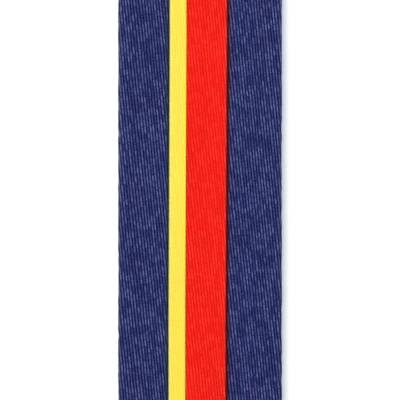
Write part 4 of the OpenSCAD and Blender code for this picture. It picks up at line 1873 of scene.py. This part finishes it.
@dataclass
class Studio:
    """A white sweep behind and below the medal, its soft lights and the camera.

    Attributes:
        ribbon_share: Width of the ribbon as a share of the picture's width.
        lens: Focal length, in millimetres.
        sensor: Sensor width, in millimetres.
        wall_gap: Room between the medal's back and the wall, in metres.
        floor_gap: Room between the medal's foot and the floor, in metres.
        bend: Radius of the sweep between the wall and the floor, in metres.
        bend_steps: Faces round that bend.
        reach: Height of the wall and depth of the floor, in metres.
        panels: Number of pale bands round the medal that its metal mirrors.
        paper_tone: Colour of the white paper under its lamps.
        paper_glow: Light that the paper gives off, which keeps its shadows soft.
    """

    ribbon_share: float = 0.4087
    lens: float = 200
    sensor: float = 36
    wall_gap: float = 0.6 * MM
    floor_gap: float = 30 * MM
    bend: float = 20 * MM
    bend_steps: int = 12
    reach: float = 1.6
    panels: int = 3
    paper_tone: Colour = (0.3, 0.3, 0.3)
    paper_glow: Colour = (0.24, 0.285, 0.42)

    def aim(self) -> Vector:
        """Returns the point on the ribbon's face that the camera looks at."""
        seam = span("bottom_stitching")
        face = middle("ribbon_rod").y - (seam.y / 2 - seam.z)
        height = (middle("ribbon_rod").z + middle("suspender_rod").z) / 2
        return Vector((middle("ribbon").x, face, height))

    def camera(self) -> None:
        """Sets up the camera straight in front of the ribbon."""
        across = span("ribbon").x / self.ribbon_share
        distance = across * self.lens / self.sensor
        data = bpy.data.cameras.new("camera")
        data.lens = self.lens
        data.sensor_width = self.sensor
        data.clip_start = 0.01
        camera = bring_in("camera", data)
        camera.location = self.aim() - Vector((0, distance, 0))
        camera.rotation_euler = (QUARTER, 0, 0)
        bpy.context.scene.camera = camera

    def sweep(self) -> Piece:
        """Builds the white wall that curves into a floor.

        Returns:
            The sweep.
        """
        low, high = CAD_BOX
        wall = high.y + self.wall_gap
        floor = low.z - self.floor_gap
        foot = wall - self.bend
        bpy.ops.mesh.primitive_plane_add(size=1)
        sheet = place(just_added("sweep"), Matrix.Translation((0, foot - self.reach / 2, floor))
                      @ Matrix.Diagonal((2 * self.reach, self.reach, 1, 1)))
        turns = [QUARTER * turn / self.bend_steps for turn in range(self.bend_steps + 1)]
        round_part = [(self.bend * math.sin(turn), -self.bend * math.cos(turn)) for turn in turns]
        with editing(sheet, "EDGE"):
            for (y, z), (next_y, next_z) in zip(round_part, round_part[1:]):
                pick_edges(sheet, lambda edge: all(point.co.y > foot + y - 1e-5 for point in edge.verts))
                step = (0, next_y - y, next_z - z)
                bpy.ops.mesh.extrude_region_move(TRANSFORM_OT_translate={"value": step})
            bpy.ops.mesh.extrude_region_move(TRANSFORM_OT_translate={"value": (0, 0, self.reach)})
            bpy.ops.mesh.select_mode(type="FACE")
            inside = Vector((0, wall - self.reach / 2, floor + self.reach / 2))
            pick_faces(sheet, lambda face: face.normal.dot(inside - face.calc_center_median()) < 0)
            bpy.ops.mesh.flip_normals()
        smooth(sheet, 60)
        return sheet

    def paper(self) -> Material:
        """Makes the sweep's white paper, which only shows and shades from its front.

        Returns:
            The material.
        """
        material = bpy.data.materials.new("white_paper")
        material.use_nodes = True
        tree = material.node_tree
        tree.nodes.clear()
        wiring = Wiring(tree)
        white = wiring.add("BsdfDiffuse")
        white.inputs["Color"].default_value = (*self.paper_tone, 1)
        glow = wiring.add("Emission")
        glow.inputs["Color"].default_value = (*self.paper_glow, 1)
        both = wiring.add("AddShader")
        wiring.feed(both.inputs[0], white.outputs[0])
        wiring.feed(both.inputs[1], glow.outputs[0])
        path = wiring.add("LightPath")
        behind = wiring.add("NewGeometry").outputs["Backfacing"]
        unseen = wiring.math("MAXIMUM", path.outputs["Is Shadow Ray"], path.outputs["Is Glossy Ray"])
        unseen = wiring.math("MAXIMUM", unseen, behind)
        choice = wiring.add("MixShader")
        wiring.feed(choice.inputs[0], unseen)
        wiring.feed(choice.inputs[1], both.outputs[0])
        wiring.feed(choice.inputs[2], wiring.add("BsdfTransparent").outputs[0])
        wiring.feed(wiring.add("OutputMaterial").inputs[0], choice.outputs[0])
        return material

    def lights(self, paper: Piece) -> None:
        """Hangs the lamps: some for the medal alone, two for the white paper alone.

        Args:
            paper: The sweep.
        """
        paper_alone = bpy.data.collections.new("paper_alone")
        paper_alone.objects.link(paper)
        medal_alone = bpy.data.collections.new("medal_alone")
        medal_alone.objects.link(paper)
        medal_alone.collection_objects[0].light_linking.link_state = "EXCLUDE"
        for lamps, lit in ((PAPER_LAMPS, paper_alone), (MEDAL_LAMPS, medal_alone)):
            for lamp in lamps:
                lamp.hang(self.aim()).light_linking.receiver_collection = lit

    def sky(self) -> None:
        """Sets the pale surroundings, with soft bands for polished metal to mirror."""
        world = bpy.data.worlds.new("surroundings")
        world.use_nodes = True
        bpy.context.scene.world = world
        wiring = Wiring(world.node_tree)
        base = world.node_tree.nodes["Background"]
        x, y, z = wiring.split(wiring.add("TexCoord").outputs["Generated"])
        side = wiring.times(wiring.math("ARCTAN2", x, y), float(self.panels))
        panels = wiring.ramp(wiring.math("SINE", side), -0.2, 0.5, 0.12, 0.75)
        mirrored = wiring.times(panels, wiring.ramp(z, -0.7, 0.75, 0.25, 1.0))
        path = wiring.add("LightPath")
        plain = wiring.mix(path.outputs["Is Camera Ray"], (0.31, 0.32, 0.35), (1.0, 1.0, 1.0))
        wiring.feed(base.inputs["Color"], wiring.mix(path.outputs["Is Glossy Ray"], plain, mirrored))
        base.inputs["Strength"].default_value = 1.0

    def build(self) -> None:
        """Sets up the paper, the lights, the surroundings and the camera."""
        self.camera()
        paper = self.sweep()
        paper.data.materials.append(self.paper())
        self.lights(paper)
        self.sky()
        bpy.context.scene.view_settings.view_transform = "Standard"
        log.info("studio: sweep, %d lamps and camera in place", len(PAPER_LAMPS + MEDAL_LAMPS))


# ---- The colours of this ribbon ----


def yarn(width: float, painted_shade: Colour, body: Colour, painted_glint: Colour) -> Stripe:
    """Makes one stripe from its width and its three tones on the 0 to 255 scale.

    Args:
        width: The stripe's width, in millimetres.
        painted_shade: Painted shade between the ribs.
        body: Tone of a rib.
        painted_glint: Painted highlight of a float that catches the light.

    Returns:
        The stripe.
    """
    return Stripe(width, linear(*painted_shade), linear(*body), linear(*painted_glint))


def ribbon_finish() -> Material:
    """Builds the cloth: navy, yellow, red and navy with a thin dark line on either side of the bright pair.

    Returns:
        The material.
    """
    left, line, yellow, red = 9.55, 0.45, 3.2, 7.9
    edge, brink, fringe = 0.6, 0.2, 0.35
    # Each stripe gives its painted shade between the ribs, its body tone and its painted highlight on the
    # floats.
    navy = ((2, 8, 60), (48, 56, 107), (98, 106, 156))
    right = span("ribbon").x / MM - left - yellow - red - 2 * line
    stripes = (
        yarn(edge, (24, 28, 66), (68, 73, 112), (108, 112, 150)),
        yarn(left - edge - fringe, *navy),
        yarn(fringe, (22, 30, 54), (54, 64, 86), (84, 96, 112)),
        yarn(line, (14, 20, 18), (34, 40, 38), (58, 66, 60)),
        yarn(fringe, (226, 214, 80), (236, 223, 94), (246, 230, 104)),
        yarn(yellow - fringe, (236, 206, 70), (246, 217, 78), (252, 225, 86)),
        yarn(red - fringe, (214, 8, 4), (235, 34, 20), (252, 56, 42)),
        yarn(fringe, (186, 34, 32), (216, 52, 48), (236, 76, 70)),
        yarn(line, (24, 4, 8), (52, 12, 18), (84, 30, 38)),
        yarn(fringe, (26, 12, 52), (62, 48, 92), (92, 80, 124)),
        yarn(right - edge - fringe, *navy),
        yarn(edge - brink, (22, 26, 64), (62, 68, 112), (98, 104, 146)),
        yarn(brink, (12, 16, 40), (38, 43, 68), (66, 72, 98)),
    )
    return RibbonCloth(stripes).make()


def main() -> None:
    """Builds the studio, the finishes and every sub-assembly, and notes the sizes."""
    logging.basicConfig(level=logging.INFO, format="%(name)s: %(message)s")
    Studio().build()
    surface = MetalSurface().make()
    gilt, dull, steel = (metal.make(surface) for metal in (
        Metal("bright_gilt", clean=(0.86, 0.60, 0.24), dark=(0.30, 0.16, 0.045),
              roughness=0.24, tarnish=0.85, relief=0.006 * MM),
        Metal("toned_gilt", clean=(0.72, 0.48, 0.19), dark=(0.17, 0.095, 0.035),
              roughness=0.36, tarnish=0.95, relief=0.01 * MM),
        Metal("bright_steel", clean=(0.62, 0.62, 0.64), dark=(0.22, 0.21, 0.20),
              roughness=0.22, tarnish=0.6, relief=0.004 * MM)))
    enamel = Enamel(deep=linear(10, 14, 62), clear=linear(34, 52, 150), rays=72,
                    centre=tuple(middle("enamel_field"))).make()
    RibbonStrip().dress(ribbon_finish(), SewingThread(linear(46, 52, 96)).make())
    Brooch().dress(gilt, dull, steel)
    Suspender().dress(gilt, dull, steel)
    Medal().dress(gilt, dull, enamel)


if __name__ == "__main__":
    main()
